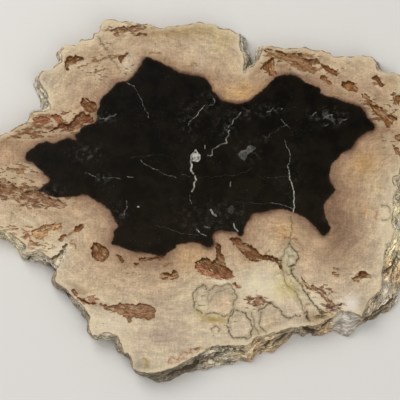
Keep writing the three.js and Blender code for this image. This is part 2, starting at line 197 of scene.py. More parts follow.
def outward_directions(ring, reach):
    """For each point of an anticlockwise ring, the level direction that leads out of it."""
    along = np.roll(ring, -reach, 0) - np.roll(ring, reach, 0)
    out = np.stack([along[:, 1], -along[:, 0]], 1)
    return out / np.linalg.norm(out, axis=1, keepdims=True)


def fine_grain(place, size):
    """A random value that changes over this size in mm, and over a half and a quarter of it."""
    return noise.fractal(Vector(place) / size, 1, 2, 3)


def chipped(ring, size, depth):
    """The same anticlockwise ring with chips of this size and depth in mm."""
    rough = np.array([fine_grain((x, y, 0), size) for x, y in ring])
    return ring + depth * rough[:, None] * outward_directions(ring, 2)


EDGE_CHIP, EDGE_CHIP_DEPTH = 1.8, 0.4
face_ring = chipped(stations[:, :2], EDGE_CHIP, EDGE_CHIP_DEPTH)
back_ring = stations[:, 2:]

# The rough rim between the two faces.
# The log's bark side, never sawn or polished: ledges, hollows and lumps of the silica that replaced the
# wood, broken along its layers. It was left as it came out of the ground.

# From the polished edge to the back's edge: how far the rim has run out and dropped, as shares.
RIM_PROFILE = [(0, 0), (0.07, 0.13), (0.4, 0.25), (0.5, 0.5), (0.82, 0.64), (0.98, 0.84), (1, 1)]
RIM_LEVEL_STEP = 0.09   # how far apart the mesh's levels lie along that profile
EDGE_DROP = 0.06   # the share of the drop over which the roughness sets in
# Each kind of roughness in mm. A ledge is long and thin.
LUMP_SIZE, LUMP_HEIGHT = 5.0, 0.9
LEDGE_LENGTH, LEDGE_THICKNESS, LEDGE_HEIGHT = 8.0, 1.2, 0.8
GRIT_SIZE, GRIT_HEIGHT = 2.2, 0.4
# The rim's cracks and hollows: how wide and deep each is in mm, and where it shows.
RIM_CRACKS = [
    # The ledges at the bottom.
    (1.1, 1.8, [(199, 361.5), (205, 359), (212, 357.5), (217, 354), (224, 351.5), (231, 349.5),
                (238, 350), (243, 352.5)]),
    (0.7, 0.8, [(212, 347), (220, 346.5), (228, 347), (236, 348), (243, 348)]),
    (3.2, 1.5, [(182, 370), (188, 368), (194, 366), (198, 362)]),
    (1.6, 1.2, [(169, 375), (175, 372), (181, 369.5)]),
    (1.2, 1.3, [(263, 346), (268, 343), (272, 339.5)]),
    (1.4, 1.2, [(275, 342.5), (281, 339), (286, 334)]),
    (2.2, 1.5, [(304, 327.5), (308, 330), (311, 331)]),
    # The slope at the lower right.
    (1.2, 1.2, [(322, 326), (329, 321), (336, 315)]),
    (1.6, 1.3, [(364, 321), (371, 315), (380, 309.5), (386, 305.5), (393, 299)]),
    (1.0, 1.0, [(367, 322), (376, 316), (388, 308)]),
    (1.3, 1.2, [(387, 271.5), (392, 266), (399, 253)]),
    (0.9, 1.0, [(393, 271), (400, 259)]),
    # The lower left.
    (1.4, 1.0, [(56, 290), (61, 292), (66, 294), (70, 295)]),
    (1.2, 1.0, [(28, 260), (31, 256.5)]),
    (1.2, 1.0, [(49, 267), (52.5, 268.5), (55.5, 270)]),
]
CRACK_STEEPNESS = 1.5   # above 1, a crack has a floor between its sides
FAR = 6.0   # no distance to a crack, boring or line is taken beyond this, in mm


def distance_to_path(places, path):
    """The distance in mm from each place to a path of straight steps."""
    best = np.full(len(places), np.inf)
    for a, b in zip(path[:-1], path[1:]):
        step = b - a
        t = np.clip((places - a) @ step / max(step @ step, TINY), 0, 1)
        gap = places - a - t[:, None] * step
        best = np.minimum(best, np.einsum("ij,ij->i", gap, gap))
    return np.sqrt(best)


def nearest_of(places, shapes, distance):
    """The distance to the nearest of the shapes, no more than FAR, and the number of that shape."""
    gap = np.full(len(places), FAR)
    which = np.zeros(len(places), int)
    for number, shape in enumerate(shapes):
        near = (places > shape.min(0) - FAR) & (places < shape.max(0) + FAR)
        near = np.flatnonzero(near.all(1))
        here = distance(places[near], shape)
        closer = here < gap[near]
        gap[near[closer]] = here[closer]
        which[near[closer]] = number
    return gap, which


def rock_relief(x, y, z, around):
    """How far the rock stands out or in at a place of the rim, in mm."""
    lump = LUMP_HEIGHT * noise.noise(Vector((x, y, z)) / LUMP_SIZE)
    ledge = LEDGE_HEIGHT * noise.noise(Vector((around / LEDGE_LENGTH, z / LEDGE_THICKNESS, 0)))
    grit = GRIT_HEIGHT * fine_grain((x, y, z), GRIT_SIZE)
    return lump + ledge + grit


station_count = len(stations)
run, drop = spaced_along(np.array(RIM_PROFILE, float), RIM_LEVEL_STEP, closed=False).T[:, :, None]
rim = np.concatenate([
    np.concatenate([face_ring + (back_ring - face_ring) * share, np.full((station_count, 1), z)], 1)
    for share, z in zip(run, THICKNESS * (1 - drop[:, 0]))
])
around = np.tile(np.arange(station_count) * STATION_SPACING, len(run))
relief = np.array([rock_relief(x, y, z, s) for (x, y, z), s in zip(rim, around)])

# Each crack is found where it shows, as if it were drawn on the plane of the polished face.
shown = rim[:, :2] - [[0, math.tan(VIEW_TILT)]] * (THICKNESS - rim[:, 2:])
crack_paths = [seen_at(points, THICKNESS) for _, _, points in RIM_CRACKS]
crack_gap, crack_number = nearest_of(shown, crack_paths, distance_to_path)
crack_width, crack_depth = np.array([(width, depth) for width, depth, _ in RIM_CRACKS])[crack_number].T
relief -= crack_depth * np.clip(CRACK_STEEPNESS * (1 - crack_gap / crack_width), 0, 1)
relief *= np.repeat(np.minimum(drop[:, 0] / EDGE_DROP, 1), station_count)
rim[:, :2] += np.tile(outward_directions(back_ring, 4), (len(run), 1)) * relief[:, None]

# Black core and its veins.
# The heart of the log, turned to black silica. Fine cracks in it have healed with pale chalcedony.
CORE = [
    (146, 57), (150, 57.5), (160, 62), (170, 67), (179, 72), (183, 73.2), (193, 75), (205, 77.5),
    (207, 79), (210.5, 85), (213, 91), (219, 97.5), (222, 100), (226, 101.5), (237, 103.3),
    (242, 102.8), (248, 101), (254, 97.5), (262, 91), (268, 85.5), (271, 81.5), (279, 75.5), (283, 75),
    (291, 74.3), (300, 77), (306, 82), (315, 85.5), (321, 88.5), (320.5, 92.5), (324, 94),
    (328, 96.3), (337, 98), (346, 102), (361, 107), (365, 111.5), (369, 119), (373, 123),
    (374.5, 126), (374, 129), (366, 132.5), (358, 138), (352, 147), (343, 152.5), (337, 158.5),
    (331.5, 165), (330.2, 170), (329, 177), (331, 183.5), (335, 190), (333.5, 192.5), (327, 200),
    (324, 204), (323.5, 208), (325, 217), (329, 225), (330, 228), (328, 232), (323, 235.5),
    (316, 227.5), (307, 219), (303, 216), (297, 213.5), (289, 210.5), (284, 209), (272, 209.5),
    (262, 212), (253, 213.5), (249, 219), (245, 225), (243, 233), (241, 236), (236, 232),
    (231, 231.5), (221, 230), (217, 231), (213.5, 233), (212, 236.5), (213, 244), (211, 246.5),
    (209, 247), (200, 243.5), (197, 242.5), (191, 242), (185, 243.5), (176.5, 244.5), (175, 247.5),
    (167, 253), (164.5, 255.5), (161, 256), (150, 253), (138, 251.5), (128, 249), (117, 245),
    (112, 243.5), (113, 240), (114.5, 236), (114.5, 232), (118.5, 225), (116, 221.5), (113, 215.5),
    (111, 211), (108, 208), (100, 202.5), (92, 198), (88, 194.5), (84, 194), (74, 196), (56, 197),
    (48, 194.5), (44, 192.5), (38, 190.5), (40, 188.5), (44, 186), (50, 181.3), (49, 177.5),
    (45, 174), (44, 172), (40, 170), (36, 164.5), (30, 161.5), (27, 160), (25.2, 157), (26.5, 153.5),
    (33, 148), (37, 144.5), (41, 143), (46, 142), (55, 143), (63, 139.5), (68, 138.5), (75.5, 140),
    (76.5, 139), (75, 136.5), (76, 134.5), (79, 132), (81, 128), (84, 126), (92, 123.5), (95, 122.5),
    (96.5, 120.5), (97.5, 111), (100, 104), (101, 98), (108, 92), (113, 87), (116, 83), (120, 81.5),
    (127, 80), (133, 75.5), (136.5, 70), (140, 66), (144, 59),
]
# Each vein: how wide it is in mm, how bright, and where it runs.
VEINS = [
    # The long vein down the right.
    (0.5, 0.5, [(285, 140), (287, 146), (289.5, 151), (290.5, 156), (290, 161), (288, 167)]),
    (0.8, 0.9, [(288, 167), (289.5, 172), (290, 179), (292, 184), (293.5, 190), (294.5, 198),
                 (294.5, 206), (293.5, 209), (293, 214)]),
    (0.6, 0.22, [(282, 119), (286, 123.5), (290, 128)]),
    (0.5, 0.3, [(270, 203.5), (280, 204.5), (286, 206), (292, 208.5)]),
    # The tail of the pale knot in the middle.
    (1.3, 0.8, [(191, 161), (191, 165), (191.5, 169), (193, 173.5)]),
    (1.1, 0.75, [(196, 176), (195.5, 181), (194, 184), (193.5, 189), (192.5, 191.5)]),
    (0.5, 0.3, [(190.5, 195), (190, 200), (191, 204)]),
    # The upper middle.
    (0.6, 0.6, [(188.5, 124), (188.5, 120.5), (191.5, 120), (196, 115), (200, 110.5), (204, 106)]),
    (0.6, 0.45, [(209, 106), (213, 105), (215, 102), (213, 98)]),
    (0.9, 0.45, [(226.5, 142), (227.5, 138), (228.5, 133), (230, 129.5)]),
    (0.8, 0.35, [(227.5, 127), (232, 123), (234, 118.5), (237, 117), (240, 114.5), (241.5, 112.5)]),
    (0.7, 0.4, [(267, 112.5), (270, 110), (274, 108.5)]),
    (0.9, 0.35, [(281.5, 108), (282.5, 108)]),
    (0.9, 0.35, [(226, 143), (221, 145), (216, 147), (213.5, 150), (212, 154), (207.5, 156)]),
    (0.8, 0.4, [(205, 145), (205, 149)]),
    # The bottom.
    (1.5, 0.6, [(210, 209.5), (216.5, 216.5)]),
    (1.0, 0.6, [(233, 224), (236, 228.5), (238, 232)]),
    (0.9, 0.6, [(197, 229), (199.5, 232)]),
    (0.8, 0.4, [(201, 234), (206, 236)]),
    (1.2, 0.3, [(205.5, 226), (209, 226.5)]),
    # The left.
    (1.3, 0.6, [(138.7, 207), (139.5, 207)]),
    (0.6, 0.35, [(127, 200), (126, 208), (124, 215)]),
    (0.7, 0.4, [(118, 220), (114, 223)]),
    (0.5, 0.4, [(127, 81), (131, 85), (136, 88), (137, 92), (140, 99), (143, 105), (145, 109),
                (147, 113), (149, 118)]),
    (0.9, 0.25, [(116, 113.5), (111, 116.5), (106, 118.5), (100, 119)]),
    (0.5, 0.3, [(140, 160), (145, 164), (152, 167.5), (158, 170.5), (161, 173), (166, 175),
                (173, 175.5), (176, 177)]),
    (0.4, 0.25, [(182, 175), (191, 177)]),
    (0.5, 0.3, [(107, 177.5), (120, 178)]),
    (0.6, 0.4, [(127, 176), (134, 178)]),
    (0.6, 0.3, [(85, 172), (90, 174.5), (95, 178)]),
    # The upper right.
    (0.7, 0.3, [(313, 115), (316, 112)]),
    (0.9, 0.25, [(324, 118), (328, 116), (333, 114.5)]),
    (0.8, 0.2, [(323, 125.5), (329, 124)]),
    (0.9, 0.25, [(340, 123), (344, 120), (348, 119.5)]),
    (0.9, 0.3, [(231.5, 182), (230, 187)]),
    # Faint hairlines.
    (0.5, 0.07, [(200, 176.5), (225, 176), (243, 172.5), (252, 168)]),
    (0.5, 0.06, [(258, 177), (275, 177.5), (289, 176.5)]),
    (0.7, 0.08, [(266.5, 137.5), (274, 132), (281, 127), (287, 124)]),
    (0.5, 0.07, [(130, 157.5), (144, 156), (164, 154.5)]),
    (0.6, 0.08, [(157, 226), (170, 229), (184, 233), (197, 236)]),
    (0.5, 0.08, [(236, 202), (250, 203.5), (270, 203.5)]),
]
# Closed patches of paler silica in the core, and how bright they are.
KNOTS = [
    (0.9, [(195.5, 149), (199, 153), (201, 156), (200, 160), (196, 162), (193, 161.5), (190.5, 160),
           (190.5, 155.5), (193, 152.5)]),
    (0.2, [(248, 146), (251, 145), (256, 147), (254, 150.5), (250, 153), (247, 156), (245.5, 161),
           (243.5, 160), (240, 158), (238.5, 154), (241, 150.5), (246, 149)]),
]

# Borings and pits in the wood.
# Tunnels that larvae ate along the grain, cut open by the saw. Iron stained their floors rust brown.
UMBER = (122, 84, 54)
RUSSET = (134, 92, 54)
CLAY = (150, 112, 76)
BRICK = (148, 98, 68)
MAUVE_CLAY = (138, 102, 76)
TERRACOTTA = (164, 110, 80)
LIVER_BROWN = (115, 73, 49)
TAN = (184, 146, 106)
CREVICE_CREAM = (214, 204, 178)
ROSE_BROWN = (143, 107, 79)
PLUM = (112, 78, 68)
# Each boring: its depth in mm, how much of its floor is lacework of sound wood, its stain, its outline.
BORINGS = [
    (1.1, 0.2, UMBER, [(64, 59.5), (66.5, 56), (73, 54.8), (81, 56.3), (83, 58.5), (75, 61.3),
                       (69, 62.7), (68, 67), (66.5, 70.3), (63.8, 65.5)]),
    (1.0, 0.15, UMBER, [(81, 98.5), (85, 97), (89.5, 99.5), (96.5, 105), (95, 111.5), (88, 112),
                        (82.5, 108.5)]),
    (1.2, 0.2, LIVER_BROWN, [(48.5, 131.5), (54, 127), (59, 123.5), (65, 122.3), (69, 122.7), (73, 119),
                             (76, 115), (79, 112.5), (83.5, 112), (88, 114.5), (92.5, 118), (94, 121),
                             (88, 122.3), (83, 122.8), (80, 126.5), (76, 129.3), (70, 129.3), (65, 127),
                             (60, 128), (55, 129.8)]),
    (0.5, 0.2, TERRACOTTA, [(31.5, 119), (38, 115.7), (46, 117), (52.5, 121.5), (47, 122.3),
                            (37, 121.8)]),
    (0.6, 0.1, BRICK, [(51, 116), (54, 114), (58.5, 114.2), (62, 119), (63, 122.3), (60, 123),
                       (55, 119.5)]),
    (0.4, 0.1, TAN, [(32, 230.5), (39, 228), (44, 225), (53, 223.5), (62, 222.8), (61.5, 229.5),
                     (50, 230.3), (46, 236.5), (41, 238.7), (34, 236.8)]),
    (0.8, 0.1, RUSSET, [(73.8, 229.7), (79, 224.7), (84, 224.5), (82, 230), (76, 231.5)]),
    (0.5, 0.2, CLAY, [(58, 239.5), (60, 236.5), (64, 234.7), (67, 235.3), (64.5, 239), (61, 240.3)]),
    (1.3, 0.1, UMBER, [(91, 248), (95, 242.3), (101, 245), (108.5, 250.3), (109, 256.5), (102, 261.3),
                       (94.5, 258.8)]),
    (0.9, 0.6, RUSSET, [(160.5, 275.5), (165, 272.3), (171, 273), (174, 270.3), (179.3, 276.3),
                        (172, 279.5), (163, 278.3)]),
    (0.7, 0.35, UMBER, [(139, 258.5), (142, 257), (150, 257.7), (158, 256.3), (165, 257), (163, 259),
                       (150, 260), (144, 261), (140, 260.5)]),
    (0.5, 0.35, UMBER, [(116, 254.5), (119, 254.8), (123, 258), (124.5, 261), (122, 262),
                        (118.5, 257.8)]),
    (0.5, 0.3, UMBER, [(134.3, 263.5), (137, 262.3), (139, 264.5), (136.5, 266.3)]),
    (0.4, 0.1, ROSE_BROWN, [(100.5, 303.2), (109, 305), (120, 302.8), (134, 303.5), (147, 303.5),
                            (155.5, 309), (153, 317.5), (142, 318.8), (134, 317), (129, 321.5),
                            (126.5, 317), (117, 312.5), (105, 308)]),
    (0.8, 0.4, BRICK, [(72.3, 290), (76.5, 290.5), (78.5, 296), (85, 299.5), (97, 302.8), (88, 304),
                       (78, 298.7)]),
    (1.3, 0.2, UMBER, [(195, 262), (199, 259.5), (206, 256.7), (211, 260.8), (216.5, 256),
                       (215.5, 242.5), (220.5, 245), (221, 251), (224.5, 256.5), (225, 265),
                       (232.5, 273), (226, 275.5), (213, 273.5), (202, 267)]),
    (1.2, 0.2, UMBER, [(229.5, 238.7), (238, 237.2), (244.5, 242.5), (252, 246.5), (260, 253.3),
                       (272, 256), (281, 261), (280.5, 269), (275.5, 262.5), (265, 259.5),
                       (252, 261.3), (243.5, 254), (236, 246)]),
    (0.6, 0.2, TERRACOTTA, [(195.5, 261), (201, 264.5), (209, 268.5), (218, 272), (228, 273.5),
                            (235, 275.5), (229, 279), (216, 278.5), (204, 274.5), (196, 269)]),
    (0.4, 0.9, PLUM, [(325.5, 305), (329, 302.5), (334, 304), (338, 302.5), (341, 304.5), (340.5, 308),
                      (335, 309), (330, 312), (326, 311)]),
    (0.5, 0.5, BRICK, [(232, 283.3), (235, 282.2), (241, 286.7), (239, 288), (235, 286.5)]),
    (0.9, 0.8, ROSE_BROWN, [(247.5, 300), (256, 297), (264.5, 298.5), (263.5, 303.5), (257, 307),
                            (250, 304)]),
    (0.5, 0.5, ROSE_BROWN, [(301, 276), (304, 281), (311, 284.7), (319, 287.7), (326, 292.5),
                            (326.5, 296), (330, 300), (335.5, 303.7), (333, 305), (324.5, 300),
                            (318, 293), (308, 287.5), (302.5, 282)]),
    (0.4, 0.6, CLAY, [(331.5, 271.5), (334.5, 270.8), (337, 273), (341.5, 272.3), (338, 275.7),
                      (333.5, 275.3)]),
    (0.9, 0.3, UMBER, [(358, 276.5), (360, 271.3), (366, 271.8), (370, 276.5), (366, 278),
                       (361.5, 276.5)]),
    (0.6, 0.4, CLAY, [(351, 277.5), (356, 276.3), (361.5, 277.5), (358.5, 281.3), (354, 281)]),
    (1.0, 0.3, RUSSET, [(260.8, 68), (266, 62), (274.7, 56.5), (274.5, 65), (277, 74.7), (270.5, 75),
                        (266.5, 69.3)]),
    (0.9, 0.45, CLAY, [(263.5, 48.3), (277, 49.3), (290, 52.8), (299, 51.3), (305, 57.5), (318, 58),
                       (321, 61.8), (313, 64), (315.5, 72.5), (304, 68.5), (291, 62.5), (279, 57.5)]),
    (0.8, 0.1, RUSSET, [(321.5, 63.5), (330, 66.8), (341.5, 73), (337, 75), (327, 69.8)]),
    (0.7, 0.3, RUSSET, [(321, 76), (324, 74), (328, 77.5), (331.7, 82.5), (327.5, 82.3), (322.5, 79)]),
    (1.0, 0.2, RUSSET, [(341.5, 84.5), (348, 79.5), (353, 81.5), (359.3, 88.5), (355, 91), (345, 87.5)]),
    (0.5, 0.4, RUSSET, [(361, 92.5), (366, 93.5), (372.5, 101.5), (369, 102), (364, 97)]),
    (1.0, 0.5, RUSSET, [(367.3, 101.5), (374, 104), (382, 107.3), (389, 114.3), (397.5, 117),
                        (395, 121), (388.5, 127.5), (383.5, 120.5), (376, 112.5)]),
    (0.6, 0.1, UMBER, [(373, 76.5), (376.5, 75), (381, 80), (385.3, 84.5), (382.5, 86), (377, 80.5)]),
    (0.5, 0.5, RUSSET, [(394, 99), (397, 94.5), (402, 96), (402.5, 103), (396.5, 104.5)]),
    (0.5, 0.2, CLAY, [(395, 136), (399, 134), (405, 137), (404, 141), (397, 140.5)]),
    (0.6, 0.2, UMBER, [(393.5, 145), (396.5, 146.5), (404, 155.5), (402, 157.5), (396, 151.5)]),
    (0.5, 0.4, ROSE_BROWN, [(109.5, 30.3), (118, 26), (131, 24.8), (142, 24.4), (146.5, 26.5),
                            (136, 30), (122, 28.6)]),
    (0.4, 0.4, RUSSET, [(112, 32), (117, 31), (120.5, 34), (117.5, 35.3)]),
    (0.4, 0.2, UMBER, [(133, 34.7), (138, 32.5), (143, 31.8), (147, 34.3), (142, 33.7), (137, 35)]),
    (0.5, 0.2, UMBER, [(118, 57), (121, 54.2), (128, 52.3), (126, 55.2), (122.5, 58), (120.7, 62.3),
                       (118.5, 60.5)]),
    (0.8, 0.8, MAUVE_CLAY, [(0, 182), (8, 180.8), (16, 186.5), (26, 190.8), (35, 189.5),
                            (44, 195.5), (58, 199.5), (66, 203), (64, 208), (50, 206), (35, 207.7),
                            (25, 206), (14, 199.5), (0, 199)]),
    # A crevice that runs up from the rim, and is open to it.
    (3.0, 0.0, CREVICE_CREAM, [(44, 262), (51, 257), (57, 255), (61, 250.5), (64, 243.5), (67.5, 243),
                               (66.5, 251), (63.5, 260), (60, 265.5), (52, 272)]),
]
# A boring's side runs out over this many mm, and further in one that is deeper than this.
BORING_SIDE_RUN = 0.8
DEEP, DEEP_SIDE_RUN = 2.0, 2.2
BORING_CHIP, BORING_CHIP_DEPTH = 2.2, 1.2
FLOOR_BUMP, FLOOR_BUMP_HEIGHT = 1.6, 0.5
# Painted shadow: a boring's floor is darkened where a point moved this way, in mm for the first mm of
# the boring's depth, falls outside it, so a dark band runs along its upper left wall.
BORING_SHADOW_SHIFT = (-0.6, 1.4)

# Lines in the pale wood.
# Cracks and the edges of agate eyes that grew in rotted hollows, healed with grey-green silica.
SAGE = (106, 97, 70)
SLATE = (76, 67, 47)
OLIVE = (150, 126, 60)
SOOT = (48, 40, 30)
EARTH = (120, 84, 54)
RED_EARTH = (146, 90, 68)
BARK = (84, 66, 46)
GOLDEN_BROWN = (164, 114, 58)
# Each line: its colour, how wide it is in mm, how strong, and where it runs.
LINES = [
    # The three agate eyes.
    (SAGE, 0.9, 0.9, [(203, 284), (199, 286.5), (195.5, 289), (193.5, 293), (193, 299), (194, 305),
                      (198, 309.5), (202, 313)]),
    (SAGE, 0.9, 0.85, [(203, 284), (206, 289), (208, 291.5), (211, 288), (215, 286), (221, 285.5),
                       (228, 284.5), (232, 287), (235, 292), (236.5, 296), (235, 300), (233, 304),
                       (234, 308), (230, 312), (227, 314.5), (224, 316), (220, 315), (215, 313),
                       (210, 312.5), (206, 313)]),
    (SAGE, 0.6, 0.5, [(208, 291.5), (207.5, 297), (209, 303), (207, 309)]),
    (SAGE, 0.6, 0.55, [(210, 302), (212, 296.5), (218, 291.5), (226, 289), (231.5, 292), (233, 298)]),
    (SAGE, 0.6, 0.45, [(196.5, 291), (196, 299), (198.5, 306)]),
    (SLATE, 0.9, 0.85, [(229, 317), (227, 321), (227.5, 326), (229, 331), (232, 335), (236, 337.5),
                        (240, 337), (244, 336.5), (248, 338), (250.5, 335), (252, 330),
                        (251.5, 325), (249.5, 319), (246, 314), (241, 311), (236, 311), (232, 313),
                        (229, 317)]),
    (SAGE, 0.5, 0.5, [(231, 329), (230.5, 322), (232.5, 317), (237, 315), (241, 315)]),
    (EARTH, 1.0, 0.75, [(212, 330.5), (212, 327), (214.5, 324.8), (218, 325.8), (219.5, 329),
                        (218.5, 331)]),
    # The pink hollow beside them, and the crack that leads on from its edge.
    (SLATE, 0.9, 0.8, [(258, 311), (263, 307), (268, 304), (273, 304.7), (278, 308), (281, 312.5),
                       (284, 317), (289, 317.7), (294, 315), (300, 314.5)]),
    (SAGE, 1.0, 0.85, [(262, 312), (259.5, 319), (261.5, 327), (266, 332)]),
    (SAGE, 0.9, 0.75, [(250.5, 312), (252, 318), (254, 324), (256.5, 330), (259, 335)]),
    (SLATE, 1.2, 0.7, [(277, 308), (279.5, 309.5)]),
    # The two long cracks that part round the pale wedge.
    (SAGE, 0.9, 0.8, [(292, 216), (291.5, 226), (290, 236), (289, 243)]),
    (SAGE, 0.9, 0.75, [(289, 243), (285, 249), (282, 256), (281, 264), (283, 272), (285, 281),
                       (291, 288), (297, 293.5), (300, 299), (302, 305), (303.3, 313)]),
    (SLATE, 1.0, 0.9, [(289.5, 243), (294, 250), (298, 256), (297.5, 260), (293.5, 264), (290, 268),
                       (294, 276), (300, 285), (306, 293), (312, 301), (318, 309), (321.5, 315)]),
    (SAGE, 0.6, 0.5, [(286, 252), (289, 257), (287, 263), (290, 268)]),
    (SAGE, 0.6, 0.4, [(291, 249), (293, 255), (289, 257)]),
    (SAGE, 0.6, 0.45, [(286.5, 270), (289, 278), (294, 286), (299, 291)]),
    (SOOT, 1.2, 0.9, [(305.5, 310.5), (307, 316), (309.3, 321.5)]),
    (EARTH, 1.2, 0.6, [(304, 309), (306, 305), (309, 303)]),
    (EARTH, 1.4, 0.75, [(284, 237.5), (289, 238.5), (296, 239.5)]),
    # Yellow-green silica below the eyes and beside the long crack.
    (OLIVE, 1.6, 0.35, [(195, 305), (198, 311), (203, 315.7), (210, 318), (217, 320), (224, 321)]),
    (OLIVE, 2.6, 0.3, [(284, 276), (288, 284), (293, 291), (297, 298)]),
    (SLATE, 0.8, 0.5, [(213, 349), (220, 347.5), (232, 347), (243, 346)]),
    # Dark rot in the edge of the polish, along the right side.
    (SOOT, 0.8, 0.75, [(397, 190), (394, 196), (394.5, 204), (393, 213), (392.5, 222), (395, 230),
                       (392.5, 237), (388.5, 244)]),
    (BARK, 1.4, 0.85, [(388.5, 244), (385.5, 252), (384.5, 262), (382.5, 270), (382.5, 282),
                       (380.5, 289), (375.5, 295), (369.5, 301), (365.5, 308), (362, 316)]),
    # The small loop at the right and the ochre mark beside it.
    (SAGE, 0.9, 0.8, [(381, 206), (386, 205.5), (390, 209), (390.5, 216), (387, 221.5), (382, 220)]),
    (GOLDEN_BROWN, 1.1, 0.6, [(379, 209), (376, 214), (375, 218), (378, 221)]),
    # The cracks at the upper left.
    (SLATE, 0.6, 0.7, [(97, 36), (100, 41), (104, 46), (107, 49.5)]),
    (SLATE, 0.6, 0.65, [(110, 55), (113, 60), (117, 65), (120, 71)]),
    (EARTH, 0.8, 0.7, [(69.5, 64), (72, 62.3), (75, 60.5), (82, 60)]),
    (EARTH, 1.2, 0.9, [(93, 59.7), (99, 59.3), (105, 57.7), (111, 56.3), (117, 55.3)]),
    (BARK, 1.2, 0.8, [(333.5, 268.3), (337, 268.8)]),
    (EARTH, 1.0, 0.8, [(150, 53), (155, 52.4), (160, 53)]),
    (EARTH, 1.1, 0.6, [(190, 65), (193, 62.7), (197, 64.5)]),
    (EARTH, 1.0, 0.6, [(75.5, 106.5), (78, 106.5)]),
    (EARTH, 1.0, 0.6, [(47, 108), (53, 108)]),
    # Streaks in the left tongue.
    (EARTH, 1.2, 0.7, [(33, 124), (40, 125.5), (46, 127), (50, 126.5)]),
    (EARTH, 1.2, 0.6, [(23, 130.5), (27, 127), (31, 125)]),
    (RED_EARTH, 1.5, 0.6, [(15, 128.5), (18, 127), (21.5, 126.5)]),
    (EARTH, 1.3, 0.7, [(9, 137), (14, 135.5), (20, 133.5), (30, 132)]),
    (EARTH, 1.0, 0.6, [(30, 134.5), (35, 133.5), (40, 134)]),
    (EARTH, 1.2, 0.6, [(5, 170), (9, 168.5), (13, 170)]),
    (EARTH, 1.1, 0.6, [(15, 170), (20, 167.5), (24, 168)]),
    (RED_EARTH, 0.9, 0.8, [(22, 228), (27, 233), (30, 240), (28, 245)]),
    (EARTH, 1.2, 0.8, [(66, 236.5), (71, 234), (77, 231.5)]),
    (EARTH, 0.9, 0.6, [(69, 242), (73, 241)]),
    (EARTH, 1.0, 0.7, [(71, 243.5), (74, 245), (76.5, 248.5)]),
    (RED_EARTH, 1.0, 0.7, [(88, 302), (93, 302.7), (98, 303.5)]),
    (EARTH, 1.0, 0.7, [(164, 266), (168, 263.5), (172, 262.5)]),
    (EARTH, 0.9, 0.7, [(265, 253), (267, 250.5), (269, 249.5)]),
    # Red loops at the bottom.
    (RED_EARTH, 0.5, 0.9, [(169, 362), (172, 357), (176, 359), (180, 355.5), (184, 352), (188, 353),
                            (190, 348), (192, 353), (191, 357), (186, 359), (180, 360), (175, 361.5),
                            (169, 362)]),
    (RED_EARTH, 0.5, 0.8, [(176, 359), (179, 361.5), (184, 356.5), (188, 358.3)]),
    (RED_EARTH, 1.0, 0.6, [(195, 350), (200, 347.5), (205, 346.5), (210, 344)]),
    (OLIVE, 1.3, 0.7, [(145.5, 358), (147.5, 361), (147, 365)]),
    (SLATE, 1.4, 0.8, [(320.5, 311), (322, 316), (326, 320)]),
    (SLATE, 1.3, 0.8, [(331, 321), (334, 317), (338, 313), (344, 311.7), (350, 312)]),
    # Rays out of the knot at the head of the long cracks.
    (EARTH, 1.1, 0.4, [(272, 229), (279, 233), (286, 236.5)]),
    (EARTH, 0.9, 0.35, [(281, 226), (285, 231), (288, 236)]),
    (EARTH, 1.0, 0.35, [(294, 241), (299, 245), (305, 251)]),
    (EARTH, 1.0, 0.3, [(282, 246), (278, 251), (275, 253)]),
]

# The mesh of the whole slab.
# The rim's rings, the face and the back are closed into one skin. Its points lie close together beside
# every outline and line of the face, and further apart elsewhere.
FINE, COARSE, BACK_SPACING = 0.72, 1.9, 2.4   # mm between points
FINE_REACH = 1.6   # mm beside an outline
MOUTH_STEP = 0.3   # mm from a boring's outline to a second one inside it, so that its edge is crisp
SHARP_EDGE = math.radians(38)
# A crack wanders round the grain: over this size, and by up to this much in mm.
WANDER_SIZE = 2.8
CORE_WANDER, VEIN_WANDER, LINE_WANDER = 0.45, 1.2, 1.4
OTHER_LAYER = Vector((0, 0, 9.5))   # a place in the noise that has nothing to do with the first
INSIDE_ONLY = 1   # makes the triangulation leave out all that lies outside its edge


def is_inside(places, ring):
    """Whether each place lies inside a closed ring."""
    x, y = places.T
    odd = np.zeros(len(places), bool)
    for (ax, ay), (bx, by) in zip(ring, np.roll(ring, -1, 0)):
        if ay != by:
            crosses = (ay > y) != (by > y)
            odd ^= crosses & (x < ax + (y - ay) * (bx - ax) / (by - ay))
    return odd


def signed_distance(places, ring):
    """The distance in mm to a closed ring, negative inside it."""
    gap = distance_to_path(places, np.concatenate([ring, ring[:1]]))
    return np.where(is_inside(places, ring), -gap, gap)


def on_face(points, closed, wander=0.0):
    """A path on the polished face, in mm, through points of the picture, that wanders a little."""
    path = spaced_along(through(seen_at(points, THICKNESS), closed), FINE, closed)
    spots = [Vector((x, y, 0)) / WANDER_SIZE for x, y in path]
    sway = [(noise.noise(spot), noise.noise(spot + OTHER_LAYER)) for spot in spots]
    return path + wander * np.array(sway)


def anticlockwise(ring):
    """The same ring, turned round if need be."""
    x, y = ring.T
    return ring if x @ np.roll(y, -1) > y @ np.roll(x, -1) else ring[::-1]


core_ring = on_face(CORE, True, CORE_WANDER)
boring_rings = [
    chipped(anticlockwise(on_face(outline, True)), BORING_CHIP, BORING_CHIP_DEPTH)
    for *_, outline in BORINGS
]
mouth_rings = [ring - MOUTH_STEP * outward_directions(ring, 2) for ring in boring_rings]
knot_rings = [on_face(outline, True, CORE_WANDER) for _, outline in KNOTS]
vein_paths = [on_face(points, False, VEIN_WANDER) for _, _, points in VEINS]
line_paths = [on_face(points, False, LINE_WANDER) for _, _, _, points in LINES]


def triangular_grid(ring, spacing):
    """Points in offset rows that cover the box round a ring."""
    (x0, y0), (x1, y1) = ring.min(0), ring.max(0)
    rows = np.arange(y0, y1, spacing * math.sqrt(3) / 2)
    columns = np.arange(x0, x1, spacing)
    x, y = np.meshgrid(columns, rows)
    x[1::2] += spacing / 2
    return np.stack([x.ravel(), y.ravel()], 1)


